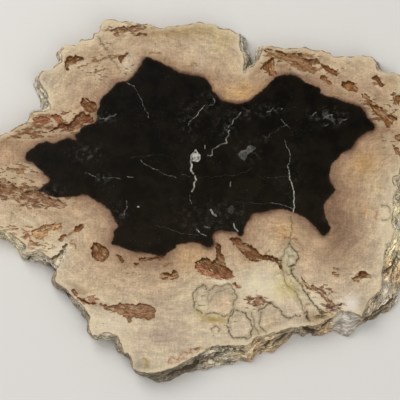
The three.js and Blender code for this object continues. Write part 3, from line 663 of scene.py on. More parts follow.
def gap_to_detail(places):
    """How far each place lies from the nearest edge, boring or line that shows on the face, in mm."""
    return np.min([
        np.abs(nearest_of(places, [core_ring, *knot_rings], signed_distance)[0]),
        nearest_of(places, boring_rings, signed_distance)[0],
        nearest_of(places, vein_paths + line_paths, distance_to_path)[0],
    ], axis=0)


def clear_of(points, others, gap):
    """The points that keep at least this distance from all of the others."""
    tree = KDTree(len(others))
    for index, (x, y) in enumerate(others):
        tree.insert((x, y, 0), index)
    tree.balance()
    kept = [tree.find((x, y, 0))[2] >= gap for x, y in points]
    return points[np.array(kept)]


def filled(ring, inner):
    """The triangles of the region inside an anticlockwise ring, with the inner points as corners."""
    corners = np.concatenate([ring, inner])
    edges = [list(range(len(ring)))]
    made = delaunay_2d_cdt([Vector(corner) for corner in corners], [], edges, INSIDE_ONLY, TINY, True)
    _, _, triangles, sources, *_ = made
    triangles = np.array([source[0] for source in sources])[np.array(triangles)]
    return triangles[is_inside(corners[triangles].mean(1), ring)]


outlines = np.concatenate([
    core_ring, *boring_rings, *mouth_rings, *knot_rings, *vein_paths, *line_paths,
])
fine = triangular_grid(face_ring, FINE)
fine = clear_of(fine[gap_to_detail(fine) < FINE_REACH], outlines, FINE / 2)
coarse = triangular_grid(face_ring, COARSE)
coarse = coarse[gap_to_detail(coarse) >= FINE_REACH]
face_points = np.concatenate([outlines, fine, coarse])
face_points = face_points[signed_distance(face_points, face_ring) < -FINE]
face_triangles = filled(face_ring, face_points)

back_points = triangular_grid(back_ring, BACK_SPACING)
back_points = back_points[signed_distance(back_points, back_ring) < -BACK_SPACING / 2]
back_triangles = filled(back_ring, back_points)

# The corner points in order: the rim's rings from the top down, the face's points, the back's points.
face_start = len(rim)
back_start = face_start + len(face_points)
last_ring = face_start - station_count
slab_points = np.concatenate([
    rim,
    np.column_stack([face_points, np.full(len(face_points), THICKNESS)]),
    np.column_stack([back_points, np.zeros(len(back_points))]),
])
flat = slab_points[:, :2]
here = np.arange(last_ring)
there = here - here % station_count + (here + 1) % station_count
rim_quads = np.stack([here, here + station_count, there + station_count, there], 1)
face_triangles += np.where(face_triangles < station_count, 0, face_start - station_count)
back_triangles += np.where(back_triangles < station_count, last_ring, back_start - station_count)

# Each boring is sunk to its floor, which is a little uneven.
boring_gap, boring_number = nearest_of(flat, boring_rings, signed_distance)
boring_depth = np.array([depth for depth, *_ in BORINGS])[boring_number]
side_run = np.where(boring_depth > DEEP, DEEP_SIDE_RUN, BORING_SIDE_RUN)
floor_bumps = np.array([fine_grain(point, FLOOR_BUMP) for point in slab_points])
sunk = np.clip(-boring_gap / side_run, 0, 1)
sunk *= boring_depth + FLOOR_BUMP_HEIGHT * floor_bumps
slab_points[:, 2] = np.minimum(slab_points[:, 2], THICKNESS - np.maximum(sunk, 0))

mesh = bpy.data.meshes.new("stone_slab")
faces = rim_quads.tolist() + face_triangles.tolist() + back_triangles[:, ::-1].tolist()
mesh.from_pydata((slab_points * MM).tolist(), [], faces)
POLISHED, RUGGED, SAWN = range(3)   # the order in which the slab is given its finishes
kinds = np.repeat([RUGGED, POLISHED, SAWN], [len(rim_quads), len(face_triangles), len(back_triangles)])
mesh.polygons.foreach_set("material_index", kinds)
mesh.shade_smooth()
mesh.set_sharp_from_angle(angle=SHARP_EDGE)

slab = bpy.data.objects.new("stone_slab", mesh)
bpy.context.scene.collection.objects.link(slab)


def linear(colour):
    """Red, green and blue of up to 255 each, turned into amounts of light by the sRGB rule."""
    share = np.array(colour) / 255
    return np.where(share <= 0.04045, share / 12.92, ((share + 0.055) / 1.055) ** 2.4)


def paint(name, values):
    """Keeps one number, one colour, or one colour with its strength, for each corner point."""
    if values.ndim == 1:
        mesh.attributes.new(name, "FLOAT", "POINT").data.foreach_set("value", values)
        return
    strength = values[:, 3:] if values.shape[1] == 4 else np.ones((len(values), 1))
    layer = mesh.attributes.new(name, "FLOAT_COLOR", "POINT")
    layer.data.foreach_set("color", np.column_stack([linear(values[:, :3]), strength]).ravel())


core_gap = signed_distance(flat, core_ring)
paint("core_gap", core_gap)
paint("boring_gap", boring_gap)
paint("boring_stain", np.array([(*stain, lace) for _, lace, stain, _ in BORINGS])[boring_number])
# The painted shadow along each boring's upper left wall: how far a point lies from its boring once moved
# by the shift.
shadow_shift = np.outer(np.minimum(boring_depth, 1), BORING_SHADOW_SHIFT)
boring_shadow_gap = nearest_of(flat + shadow_shift, boring_rings, signed_distance)[0]
paint("boring_shadow_gap", np.where(boring_gap < BORING_SIDE_RUN / 2, boring_shadow_gap, -FAR))
grain_way = np.array([np.linalg.eigh(np.cov(ring.T))[1][:, 1] for ring in boring_rings])[boring_number]
paint("along_boring", (flat * grain_way).sum(1))
paint("across_boring", (flat * grain_way[:, ::-1] * [-1, 1]).sum(1))
paint("rim_gap", distance_to_path(flat, np.concatenate([face_ring, face_ring[:1]])))

vein_gap, vein_number = nearest_of(flat, vein_paths, distance_to_path)
vein_gap -= np.array([width / 2 for width, _, _ in VEINS])[vein_number]
vein_light = np.array([light for _, light, _ in VEINS])[vein_number]
knot_gap, knot_number = nearest_of(flat, knot_rings, signed_distance)
knot_light = np.array([light for light, _ in KNOTS])[knot_number]
in_knot = knot_gap < vein_gap
paint("vein_gap", np.where(in_knot, knot_gap, vein_gap))
paint("vein_light", np.where(in_knot, knot_light, vein_light))

line_gap, line_number = nearest_of(flat, line_paths, distance_to_path)
paint("line_gap", line_gap - np.array([width / 2 for _, width, _, _ in LINES])[line_number])
paint("line_colour", np.array([(*colour, strength) for colour, _, strength, _ in LINES])[line_number])

# The wood's colours.
# The silica that replaced the wood is tinged by iron: cream towards the bark, pinkish brown towards the
# core, with stains where it was rotted or eaten. They are all in the stone, none on it.
MAUVE_BROWN = (134, 107, 85)
PINK_TAN = (165, 135, 105)
PINK_GREY = (168, 144, 118)
ORANGE_TAN = (174, 136, 90)
GREY_MAUVE = (168, 147, 128)
TAN_CREAM = (184, 157, 123)
CREAM = (198, 180, 150)
PALE_CREAM = (217, 203, 174)
PALE_GREEN = (186, 178, 150)
WHITE_PINK = (224, 214, 204)
GREY_PEACH = (190, 164, 134)
PALE_TAN = (200, 172, 140)
PALE_ORANGE = (192, 154, 108)
YELLOW_CREAM = (190, 172, 124)
YELLOW_TAN = (166, 144, 104)
DARK_MAUVE = (114, 88, 68)
ROTTED_TAN = (142, 112, 82)
STONE_TAN = (150, 138, 116)
# The wood's colour at each distance in mm from the core.
WOOD_BY_DISTANCE = [
    (0, (118, 92, 73)), (2.5, (149, 120, 94)), (4.5, (161, 132, 105)), (8, (173, 145, 116)),
    (18, (184, 159, 129)), (35, (193, 172, 143)), (60, (199, 181, 153)),
]
# Each zone: its middle and its reach, in columns and rows, its colour and its strength.
WOOD_ZONES = [
    # The upper side.
    ((240, 92), (24, 10), PALE_ORANGE, 0.8), ((212, 48), (36, 16), CREAM, 0.5),
    ((48, 90), (12, 20), CREAM, 0.7), ((85, 74), (22, 22), PINK_GREY, 0.6),
    ((340, 92), (24, 9), PINK_TAN, 0.7), ((186, 29), (46, 9), YELLOW_TAN, 0.95),
    ((150, 27), (12, 6), ROTTED_TAN, 0.9), ((102, 56), (20, 8), ROTTED_TAN, 0.4),
    ((290, 56), (28, 10), ROTTED_TAN, 0.95), ((304, 76), (9, 7), MAUVE_BROWN, 0.7),
    ((246, 105), (14, 6), DARK_MAUVE, 0.8), ((388, 78), (12, 10), ROTTED_TAN, 0.45),
    ((128, 62), (10, 14), PALE_CREAM, 0.6), ((222, 44), (9, 12), YELLOW_TAN, 0.5),
    ((258, 66), (6, 7), ROTTED_TAN, 0.5), ((246, 90), (8, 7), ORANGE_TAN, 0.5),
    ((162, 29), (24, 6), ROTTED_TAN, 0.6), ((296, 55), (12, 7), DARK_MAUVE, 0.4),
    ((154, 48), (14, 9), CREAM, 0.5), ((200, 65), (8, 7), CREAM, 0.5),
    # The left end and the tongue.
    ((5, 150), (28, 26), PINK_TAN, 0.8), ((35, 240), (30, 10), TAN_CREAM, 0.6),
    ((58, 252), (14, 14), PALE_CREAM, 0.7), ((42, 114), (12, 6), ROTTED_TAN, 0.6),
    ((30, 130), (50, 12), ROTTED_TAN, 0.8), ((6, 187), (24, 9), ROTTED_TAN, 0.6),
    ((4, 137), (11, 7), ROTTED_TAN, 0.9), ((30, 221), (14, 5), PALE_CREAM, 0.5),
    ((54, 138), (12, 6), MAUVE_BROWN, 0.5), ((42, 78), (7, 8), STONE_TAN, 0.4),
    ((76, 128), (12, 7), ROTTED_TAN, 0.6),
    # The right side.
    ((337, 225), (24, 34), MAUVE_BROWN, 0.95), ((318, 247), (20, 16), MAUVE_BROWN, 0.45),
    ((345, 188), (16, 26), PINK_TAN, 0.85), ((365, 163), (14, 15), ORANGE_TAN, 0.75),
    ((351, 304), (12, 9), WHITE_PINK, 0.85), ((386, 225), (12, 40), PALE_CREAM, 0.5),
    ((387, 130), (10, 26), PINK_TAN, 0.9), ((333, 202), (9, 28), DARK_MAUVE, 0.7),
    ((337, 172), (8, 12), DARK_MAUVE, 0.35), ((375, 117), (13, 18), ROTTED_TAN, 0.7),
    ((320, 242), (10, 11), TAN_CREAM, 0.6), ((366, 307), (5, 8), ROTTED_TAN, 0.6),
    ((366, 304), (8, 6), STONE_TAN, 0.7), ((366, 210), (6, 6), ORANGE_TAN, 0.5),
    ((378, 186), (8, 8), YELLOW_TAN, 0.4), ((390, 138), (8, 8), MAUVE_BROWN, 0.3),
    # The agate eyes, and the pale wedge between the long cracks.
    ((262, 285), (32, 22), PALE_CREAM, 0.95), ((288, 288), (13, 9), YELLOW_CREAM, 0.9),
    ((222, 302), (11, 10), GREY_PEACH, 0.9), ((215.5, 328.5), (3, 3), PALE_CREAM, 0.9),
    ((290, 256), (6, 10), PALE_GREEN, 0.9), ((308, 261), (12, 14), PALE_TAN, 0.8),
    ((322, 318), (17, 7), ROTTED_TAN, 0.8), ((328, 317), (8, 5), GOLDEN_BROWN, 0.9),
    ((314, 300), (8, 9), PALE_CREAM, 0.8), ((222, 282), (12, 3), PALE_CREAM, 0.9),
    ((246, 258), (7, 9), ROTTED_TAN, 0.5), ((212, 319), (13, 2.5), OLIVE, 0.8),
    ((199, 312), (5, 4), OLIVE, 0.5), ((256, 333), (8, 6), ROTTED_TAN, 0.35),
    ((281, 270), (8, 9), YELLOW_TAN, 0.5), ((222, 294), (7, 6), STONE_TAN, 0.4),
    ((200, 299), (6, 11), PALE_GREEN, 0.9), ((272, 320), (11, 12), PINK_TAN, 0.3),
    # The rest of the lower side.
    ((284, 232), (13, 10), PALE_ORANGE, 0.7), ((190, 258), (14, 12), PALE_ORANGE, 0.6),
    ((108, 322), (24, 12), PALE_CREAM, 0.7), ((165, 335), (19, 10), GREY_MAUVE, 0.8),
    ((150, 262), (34, 7), MAUVE_BROWN, 0.5), ((138, 367), (13, 8), STONE_TAN, 1.0),
    ((174, 342), (12, 10), GREY_MAUVE, 0.6), ((78, 293), (12, 7), ROTTED_TAN, 0.5),
    ((162, 306), (9, 8), GREY_MAUVE, 0.5), ((190, 305), (20, 26), CREAM, 0.8),
]
# Zones of rot and stain: the middle and the reach, the stain, and how much of the wood it has taken.
ROT_ZONES = [
    # The left tongue.
    ((14, 190), (30, 10), UMBER, 1.0), ((45, 202), (24, 7), UMBER, 0.8),
    ((60, 204), (8, 5), UMBER, 0.8), ((25, 131), (24, 8), UMBER, 0.9), ((40, 120), (20, 7), BRICK, 0.9),
    ((68, 122), (16, 9), UMBER, 0.9), ((22, 169), (18, 5), CLAY, 0.7), ((4, 176), (10, 8), CLAY, 0.7),
    ((8, 230), (18, 5), BRICK, 0.7), ((30, 236), (10, 9), BRICK, 0.7), ((38, 245), (14, 6), BRICK, 0.8),
    # The upper side.
    ((75, 62), (12, 7), CLAY, 0.6), ((96, 72), (14, 14), CLAY, 0.25), ((128, 28), (24, 5), CLAY, 0.8),
    ((108, 58), (16, 4), CLAY, 0.6), ((268, 64), (8, 11), RUSSET, 0.6), ((280, 54), (18, 7), CLAY, 1.0),
    ((306, 62), (14, 10), CLAY, 1.0), ((330, 68), (12, 6), RUSSET, 0.4),
    ((350, 86), (10, 7), RUSSET, 0.4), ((368, 100), (8, 8), RUSSET, 0.5),
    ((384, 114), (14, 11), RUSSET, 0.65), ((396, 98), (5, 8), RUSSET, 0.7),
    ((390, 142), (10, 14), RUSSET, 0.3), ((379, 81), (7, 7), RUSSET, 0.4),
    # The lower side.
    ((88, 299), (14, 5), BRICK, 0.8), ((120, 308), (22, 6), BRICK, 0.3),
    ((256, 302), (13, 6), BRICK, 0.8), ((332, 307), (11, 5), PLUM, 0.9),
    ((318, 290), (16, 7), BRICK, 0.5), ((182, 357), (14, 6), BRICK, 0.2),
    ((202, 348), (10, 4), BRICK, 0.5), ((214, 268), (18, 12), RUSSET, 0.4),
    ((170, 276), (12, 4), RUSSET, 0.4), ((360, 277), (12, 6), CLAY, 0.4),
    # Grey-green silica.
    ((201, 301), (7, 12), SAGE, 0.25), ((290, 266), (8, 16), SAGE, 0.25),
    ((325, 315), (10, 6), SAGE, 0.6),
]
STAIN_SPREAD = 0.3   # below 1, a zone's stain reaches further than its rot
# Hazes of paler silica in the core: the middle, the reach and the strength.
CORE_HAZES = [
    ((88, 153), (14, 8), 0.5), ((103, 117), (9, 5), 0.7), ((102, 177), (7, 5), 0.8),
    ((122, 214), (7, 7), 0.5), ((188, 122), (9, 18), 0.35), ((250, 113), (16, 5), 0.6),
    ((226, 126), (9, 12), 0.35), ((330, 117), (13, 7), 1.0), ((314, 114), (6, 4), 0.6),
    ((265, 138), (6, 5), 0.4), ((248, 152), (12, 10), 0.3), ((272, 109), (10, 5), 0.4),
    ((222, 215), (30, 16), 0.2), ((292, 180), (10, 40), 0.1), ((190, 218), (14, 20), 0.2),
    ((330, 212), (10, 14), 0.2), ((234, 210), (9, 7), 0.6), ((52, 191), (10, 5), 0.5),
    ((207, 102), (12, 10), 0.35),
]
# Where the core's black turns a little brown: towards the slab's lower side.
UMBER_ZONE = ((230, 260), (300, 110))

# Where dark flecks of silica are thick in the wood: the middle, the reach and the strength.
FLECKED_ZONES = [
    ((98, 73), (15, 12), 1.0), ((129, 68), (10, 8), 0.8), ((24, 170), (26, 7), 0.9),
    ((40, 130), (30, 7), 0.9), ((104, 44), (8, 8), 0.7), ((340, 66), (20, 10), 0.5),
    ((20, 215), (30, 8), 0.5), ((120, 270), (40, 14), 0.4),
]


def weight_of(middle, reach):
    """How strongly a zone is felt at each corner point: 1 at its middle, and fading away round it."""
    centre = seen_at([middle], THICKNESS)[0]
    gap = (flat - centre) / (np.array(reach) * MM_PER_COLUMN)
    return np.exp(-(gap**2).sum(1))


distances = [distance for distance, _ in WOOD_BY_DISTANCE]
by_distance = np.array([colour for _, colour in WOOD_BY_DISTANCE], float)
wood_colours = np.stack([np.interp(core_gap, distances, channel) for channel in by_distance.T], 1)
for middle, reach, colour, strength in WOOD_ZONES:
    felt = weight_of(middle, reach)[:, None]
    wood_colours += (np.array(colour) - wood_colours) * felt * strength
paint("wood_colour", wood_colours)

rot = np.full((len(flat), 4), (*UMBER, 0), float)
for middle, reach, stain, taken in ROT_ZONES:
    felt = weight_of(middle, reach)[:, None]
    rot[:, :3] += (np.array(stain) - rot[:, :3]) * felt**STAIN_SPREAD
    rot[:, 3:] = np.maximum(rot[:, 3:], felt * taken)
paint("rot_stain", rot)

for name, zones in (("core_haze", CORE_HAZES), ("flecked", FLECKED_ZONES)):
    paint(name, np.max([weight_of(middle, reach) * strength for middle, reach, strength in zones], 0))
paint("core_umber", weight_of(*UMBER_ZONE))

# The rim's colours.
# Each stretch of bark side has its own rock, as the ground and the bark left it: grey-green, ochre,
# brown or white quartz. The spur and part of the lower side have a darker grey for painted shade.
GREY_GREEN = (222, 214, 192)
BUFF = (216, 194, 160)
SAND = (214, 200, 172)
OCHRE = (255, 240, 200)
ORANGE_OCHRE = (238, 200, 152)
WHITE_QUARTZ = (224, 220, 212)
STONE_GREY = (206, 196, 176)
# A darker grey that paints the shade on the spur and on part of the lower side.
SHADED_SPUR_GREY = (146, 136, 118)
WEATHERED_GREY = (208, 196, 172)
PALE_STONE = (228, 218, 198)
BARK_BROWN = (150, 120, 86)
DUN = (162, 143, 114)
ASH = (176, 164, 146)
# What rock the rim has at each of these columns and rows.
RIM_ROCK = [
    (-38, 187, BUFF), (-10, 142, BUFF), (20, 126, BUFF), (40, 106, GREY_GREEN), (35, 88, GREY_GREEN),
    (38, 76, WEATHERED_GREY), (58, 55, SAND), (80, 42, SAND), (100, 26, SAND), (150, 27, BUFF),
    (200, 24, SAND), (232, 32, STONE_GREY), (244, 42, GREY_GREEN), (248, 56, GREY_GREEN),
    (257, 55, SAND), (290, 49, BUFF), (340, 57, SAND), (378, 64, STONE_GREY), (400, 80, BUFF),
    (410, 120, BUFF), (400, 182, SAND), (398, 205, OCHRE), (398, 235, OCHRE), (394, 256, OCHRE),
    (394, 273, ORANGE_OCHRE), (390, 290, STONE_GREY), (380, 300, PALE_STONE), (380, 312, BUFF),
    (364, 320, DUN), (352, 322, WHITE_QUARTZ), (339, 325, WHITE_QUARTZ), (326, 326, ORANGE_OCHRE),
    (312, 330, DUN), (295, 332, SHADED_SPUR_GREY), (280, 338, BUFF), (268, 344, BUFF),
    (254, 348, ORANGE_OCHRE), (244, 354, SAND), (225, 355, WEATHERED_GREY), (208, 360, WEATHERED_GREY),
    (190, 366, ASH), (172, 374, SHADED_SPUR_GREY), (158, 377, SHADED_SPUR_GREY), (140, 373, ASH),
    (126, 355, ASH), (116, 343, SAND), (104, 336, GREY_GREEN), (88, 326, ASH),
    (78, 306, STONE_GREY), (62, 290, ASH), (54, 279, ASH), (46, 263, PALE_STONE),
    (34, 257, PALE_STONE), (24, 256, GREY_GREEN), (14, 243, OCHRE), (0, 235, OCHRE),
    (-22, 222, BUFF),
]
ROCK_REACH = 5.5   # mm over which one rock gives way to the next

rock_places = seen_at([(column, row) for column, row, _ in RIM_ROCK], THICKNESS / 2)
rock_colours = np.array([colour for _, _, colour in RIM_ROCK], float)
rim_middle = (face_ring + back_ring) / 2
station_gaps = np.linalg.norm(rim_middle[:, None] - rock_places[None], axis=2)
station_gaps -= station_gaps.min(1, keepdims=True)
shares = np.exp(-station_gaps / ROCK_REACH)
station_rock = shares @ rock_colours / shares.sum(1, keepdims=True)
is_quartz = np.array([colour is WHITE_QUARTZ for _, _, colour in RIM_ROCK])
station_quartz = shares[:, is_quartz].sum(1) / shares.sum(1)


def paint_rim(name, values, elsewhere):
    """Paints the rim with these values, and the two faces with one value."""
    rest = np.full((len(flat) - face_start, *values.shape[1:]), elsewhere, float)
    paint(name, np.concatenate([values, rest]))


paint_rim("rim_rock", np.tile(station_rock, (len(run), 1)), STONE_GREY)
paint_rim("rim_quartz", np.tile(station_quartz, len(run)), 0)
paint_rim("rim_relief", relief, 0)
paint_rim("crack_gap", crack_gap - crack_width / 2, FAR)

# The polished face.
# The slice was lapped flat and polished, so that every tinge of the silica shows. Growth bands run round
# the log's pith and follow the core's outline, and fine rays lead out from the pith.
PITH = (200, 155)
RING_SHAPE = (0.55, 1, 1)   # the rings are ovals, longer along the slab
FROM_PITH, FROM_CORE = 0.4, 0.6   # how far a ring keeps to the pith, and how far to the core's outline
RING_WAVE, RING_WAVE_DEPTH = 20, 8   # mm along and across a ring
RAY_CIRCLE = 0.1   # the radius in metres at which the rays are as wide as their size says
BAND_STRETCH = 0.25   # how much of the way round a band its tone changes
SCRATCH_STRETCH = 0.12
ROT_PATCH = 2.4
# The grain's value at the edge of a rotted patch, how blurred that edge is, and the values between which
# the wood round the patches turns pale and their insides turn darkest.
ROT_EDGE, ROT_BLUR = 0.625, 0.015
PALE_ROUND_ROT, DEEP_ROT = (0.62, 0.56), (0.66, 0.72)
# How far up the grain is read again, to paint shadow along the upper side of each rotted patch.
ROT_SHADOW_STEP = 0.7   # mm
SOAKED_LEAST, SOAKED_MOST = 0.8, 2.6   # mm that the core's black has soaked into the wood
STREAK_STRETCH = 0.35   # how much of the way along a boring its streaks change
PALE_RIND = (216, 201, 168)
# Dark brown for the folds in a boring's floor, and for the painted shadow and shade on its walls.
FOLD_AND_SHADOW_BROWN = (80, 48, 24)
BURNT_BROWN = (72, 52, 36)
FLECK_BROWN = (98, 78, 54)
SOUND_TAN = (190, 156, 120)
CORE_MARGIN = (66, 46, 34)
CORE_BLACK = (7, 6, 4)
CORE_UMBER = (29, 24, 16)
CORE_GREY = (116, 114, 106)
VEIN_GREY = (190, 188, 178)
POLISHED_ROUGHNESS, FLOOR_ROUGHNESS = 0.2, 0.85
POLISHED_SHINE = 0.05   # low, because the soft light leaves no glare on the real polish


def shade(colour):
    """A colour as the shader reads it."""
    return [*linear(colour), 1]


class Finish:
    """A material, built up by calls that each add a node and give back what it puts out.

    Every size, width and distance is in mm. Blender's mix node has its colours at sockets 6 and 7, and
    its vectors at 4 and 5.
    """

    def __init__(self, name):
        self.material = bpy.data.materials.new(name)
        self.material.use_nodes = True
        self.tree = self.material.node_tree
        self.shader = self.tree.nodes["Principled BSDF"].inputs
        self.place = self.add("ShaderNodeTexCoord", output="Object")

    def feed(self, socket, value):
        """Links another node's output to a socket, or sets the socket's own value."""
        if isinstance(value, bpy.types.NodeSocket):
            self.tree.links.new(value, socket)
        else:
            socket.default_value = value

    def add(self, kind, inputs=(), output=0, **settings):
        """One node with these inputs, and its output of this name or number."""
        node = self.tree.nodes.new(kind)
        for name, value in settings.items():
            setattr(node, name, value)
        for key, value in dict(inputs).items():
            self.feed(node.inputs[key], value)
        return node.outputs[output]

    def chain(self, operation, first, others):
        """The first value, with each of the others worked into it in turn."""
        for other in others:
            first = self.add("ShaderNodeMath", {0: first, 1: other}, operation=operation)
        return first

    def sum(self, first, *others):
        """All of these added up."""
        return self.chain("ADD", first, others)

    def product(self, first, *others):
        """All of these multiplied together."""
        return self.chain("MULTIPLY", first, others)

    def larger(self, first, *others):
        """The largest of these."""
        return self.chain("MAXIMUM", first, others)

    def vector(self, operation, *vectors, output=0):
        """One step of vector arithmetic."""
        return self.add("ShaderNodeVectorMath", enumerate(vectors), output, operation=operation)

    def scaled(self, vector, size):
        """A vector or a colour made this many times as large."""
        return self.add("ShaderNodeVectorMath", {0: vector, "Scale": size}, operation="SCALE")

    def stretched(self, x, y, z):
        """The place on the slab, for a pattern that these values below 1 draw out along each axis."""
        return self.add("ShaderNodeMapping", {"Vector": self.place, "Scale": (x, y, z)})

    def painted(self, name, output="Fac"):
        """What paint() kept under this name."""
        return self.add("ShaderNodeAttribute", output=output, attribute_name=name)

    def fade(self, value, zero, one):
        """A smooth step: 0 where the value is at zero, 1 where it is at one."""
        inputs = {"Value": value, "From Min": zero, "From Max": one}
        return self.add("ShaderNodeMapRange", inputs, interpolation_type="SMOOTHSTEP")

    def grain(self, size, detail=2, place=None):
        """Random values about 0.5, that change over this size."""
        inputs = {"Vector": place or self.place, "Scale": 1 / (size * MM), "Detail": detail}
        return self.add("ShaderNodeTexNoise", inputs)

    def mottle(self, size, zero=0.35, one=0.65, detail=2, place=None):
        """Soft patches of this size: 0 where the grain is at zero, 1 where it is at one."""
        return self.fade(self.grain(size, detail, place), zero, one)

    def warped(self, gap, amount, size):
        """A distance made ragged by up to half of this amount, over this size."""
        inputs = {0: self.grain(size), 1: amount, 2: -amount / 2}
        ragged = self.add("ShaderNodeMath", inputs, operation="MULTIPLY_ADD")
        return self.sum(gap, ragged)

    def seam(self, value, middle, width):
        """1 in a thin line where the value is at its middle, and 0 beyond the width on either side."""
        gap = self.add("ShaderNodeMath", {0: value, 1: middle}, operation="SUBTRACT")
        return self.fade(self.add("ShaderNodeMath", {0: gap}, operation="ABSOLUTE"), width, 0)

    def laid(self, under, over, *shares):
        """One colour with another laid over it, as much as all of these shares multiplied together."""
        over = shade(over) if isinstance(over, tuple) else over
        inputs = {0: self.product(*shares), 6: under, 7: over}
        return self.add("ShaderNodeMix", inputs, output=2, data_type="RGBA")

    def shaded(self, colour, value, darkest, palest):
        """A colour times darkest where the value is 0, and times palest where it is 1."""
        tints = [Vector(tint if isinstance(tint, tuple) else [tint] * 3) for tint in (darkest, palest)]
        inputs = {0: value, 4: tints[0], 5: tints[1]}
        return self.vector("MULTIPLY", colour, self.add("ShaderNodeMix", inputs, 1, data_type="VECTOR"))

    def surface(self, colour, roughness, shine=0.5):
        """The colour, how rough it is, and how much it shines."""
        self.feed(self.shader["Base Color"], colour)
        self.feed(self.shader["Roughness"], roughness)
        self.feed(self.shader["Specular IOR Level"], shine)

    def bump(self, height, distance):
        """A fine roughness that only the light shows."""
        inputs = {"Height": height, "Distance": distance * MM, "Strength": 1.0}
        self.feed(self.shader["Normal"], self.add("ShaderNodeBump", inputs))


polished = Finish("polished petrified wood")
plain = polished.painted("wood_colour", "Color")
plain = polished.shaded(plain, polished.mottle(14), (0.94, 0.94, 0.97), (1.05, 1.06, 1.05))

pith = (*(seen_at([PITH], THICKNESS)[0] * MM), THICKNESS * MM)
from_pith = polished.vector("SUBTRACT", polished.place, pith)
radius = polished.vector("LENGTH", polished.vector("MULTIPLY", from_pith, RING_SHAPE), output="Value")
radius = polished.sum(
    polished.product(radius, FROM_PITH),
    polished.product(polished.painted("core_gap"), FROM_CORE * MM),
    polished.product(polished.grain(RING_WAVE), RING_WAVE_DEPTH * MM),
)
ray = polished.scaled(polished.vector("NORMALIZE", from_pith), RAY_CIRCLE)
across_bands = polished.add("ShaderNodeCombineXYZ", {"Z": radius})
band = polished.vector("ADD", polished.scaled(ray, BAND_STRETCH), across_bands)
wood = plain
# Each pattern: its size, what it runs along, its darkest and its palest tone.
for size, place, darkest, palest in (
    # The scratches of the lap, one way and the other.
    (0.8, polished.stretched(SCRATCH_STRETCH, 1, 1), 0.92, 1.07),
    (0.8, polished.stretched(1, SCRATCH_STRETCH, 1), 0.93, 1.07),
    # The growth bands and the rays.
    (3.2, band, 0.9, 1.1),
    (1.0, band, 0.9, 1.09),
    (0.9, ray, 0.94, 1.06),
    # The grain of the silica itself.
    (4.0, None, 0.93, 1.07),
    (0.9, None, 0.88, 1.1),
):
    wood = polished.shaded(wood, polished.mottle(size, 0.3, 0.7, 3, place), darkest, palest)
# The palest wood is the smoothest.
brightness = polished.add("ShaderNodeRGBToBW", {"Color": plain})
wood = polished.laid(wood, plain, polished.fade(brightness, 0.4, 0.62), 0.7)
# Flecks, drawn out along the slab.
drawn_out = polished.stretched(0.5, 1, 1)
fleck = polished.product(polished.painted("flecked"), 0.2)
fleck = polished.fade(polished.sum(polished.grain(1.2, 3, drawn_out), fleck), 0.7, 0.75)
wood = polished.laid(wood, FLECK_BROWN, fleck, 0.85)

# Rot and stain: patches drawn out along the slab, darkest inside, with painted shadow along their upper
# sides and pale wood between.
rot_share = polished.painted("rot_stain", "Alpha")
rot_stain = polished.painted("rot_stain", "Color")
near_rot = polished.fade(rot_share, 0.05, 0.3)
soft = polished.grain(ROT_PATCH, 6, drawn_out)
# The grain read a little higher up, to paint shadow along the upper side of each patch.
above = polished.vector("ADD", drawn_out, (0, ROT_SHADOW_STEP * MM, 0))
shadow_side = polished.sum(soft, polished.product(polished.grain(ROT_PATCH, 6, above), -1))
rotting = polished.sum(soft, polished.product(rot_share, 0.14))
wood = polished.laid(wood, PALE_RIND, polished.fade(rotting, *PALE_ROUND_ROT), near_rot, 0.25)
patch = polished.product(polished.fade(rotting, ROT_EDGE - ROT_BLUR, ROT_EDGE + ROT_BLUR), near_rot)
patch_stain = polished.shaded(rot_stain, polished.mottle(1.2, 0.4, 0.6, 3, drawn_out), 0.7, 1.3)
wood = polished.laid(wood, patch_stain, patch, 0.75)
deep = polished.product(polished.fade(rotting, *DEEP_ROT), near_rot, polished.mottle(3.5, 0.42, 0.55))
# Painted shadow in a thin line along the upper side of each patch.
rot_shadow = polished.product(
    polished.seam(rotting, ROT_EDGE, 0.06), near_rot, polished.fade(shadow_side, 0.0, 0.05))
dark_stain_and_shadow = polished.scaled(rot_stain, 0.4)
wood = polished.laid(wood, dark_stain_and_shadow, polished.larger(deep, rot_shadow), 0.9)

# Healed cracks, and the thin dark edge where the polish ends at the bark side.
line_edge = polished.warped(polished.painted("line_gap"), 0.9, 0.9)
line = polished.product(polished.mottle(1.2, 0.25, 0.5, 3), polished.fade(line_edge, 0.3, -0.2))
line = polished.larger(line, polished.product(polished.fade(line_edge, 1.5, 0), 0.35))
line = polished.product(line, polished.painted("line_colour", "Alpha"))
wood = polished.laid(wood, polished.painted("line_colour", "Color"), line)
bark_wood = polished.fade(polished.warped(polished.painted("rim_gap"), 3.0, 3.0), 4.5, 0.5)
wood = polished.laid(wood, PALE_RIND, bark_wood, 0.45)
dark_rim = polished.fade(polished.painted("rim_gap"), 0.9, 0.2)
wood = polished.laid(wood, BURNT_BROWN, dark_rim, polished.mottle(4, 0.42, 0.55, 3), 0.7)

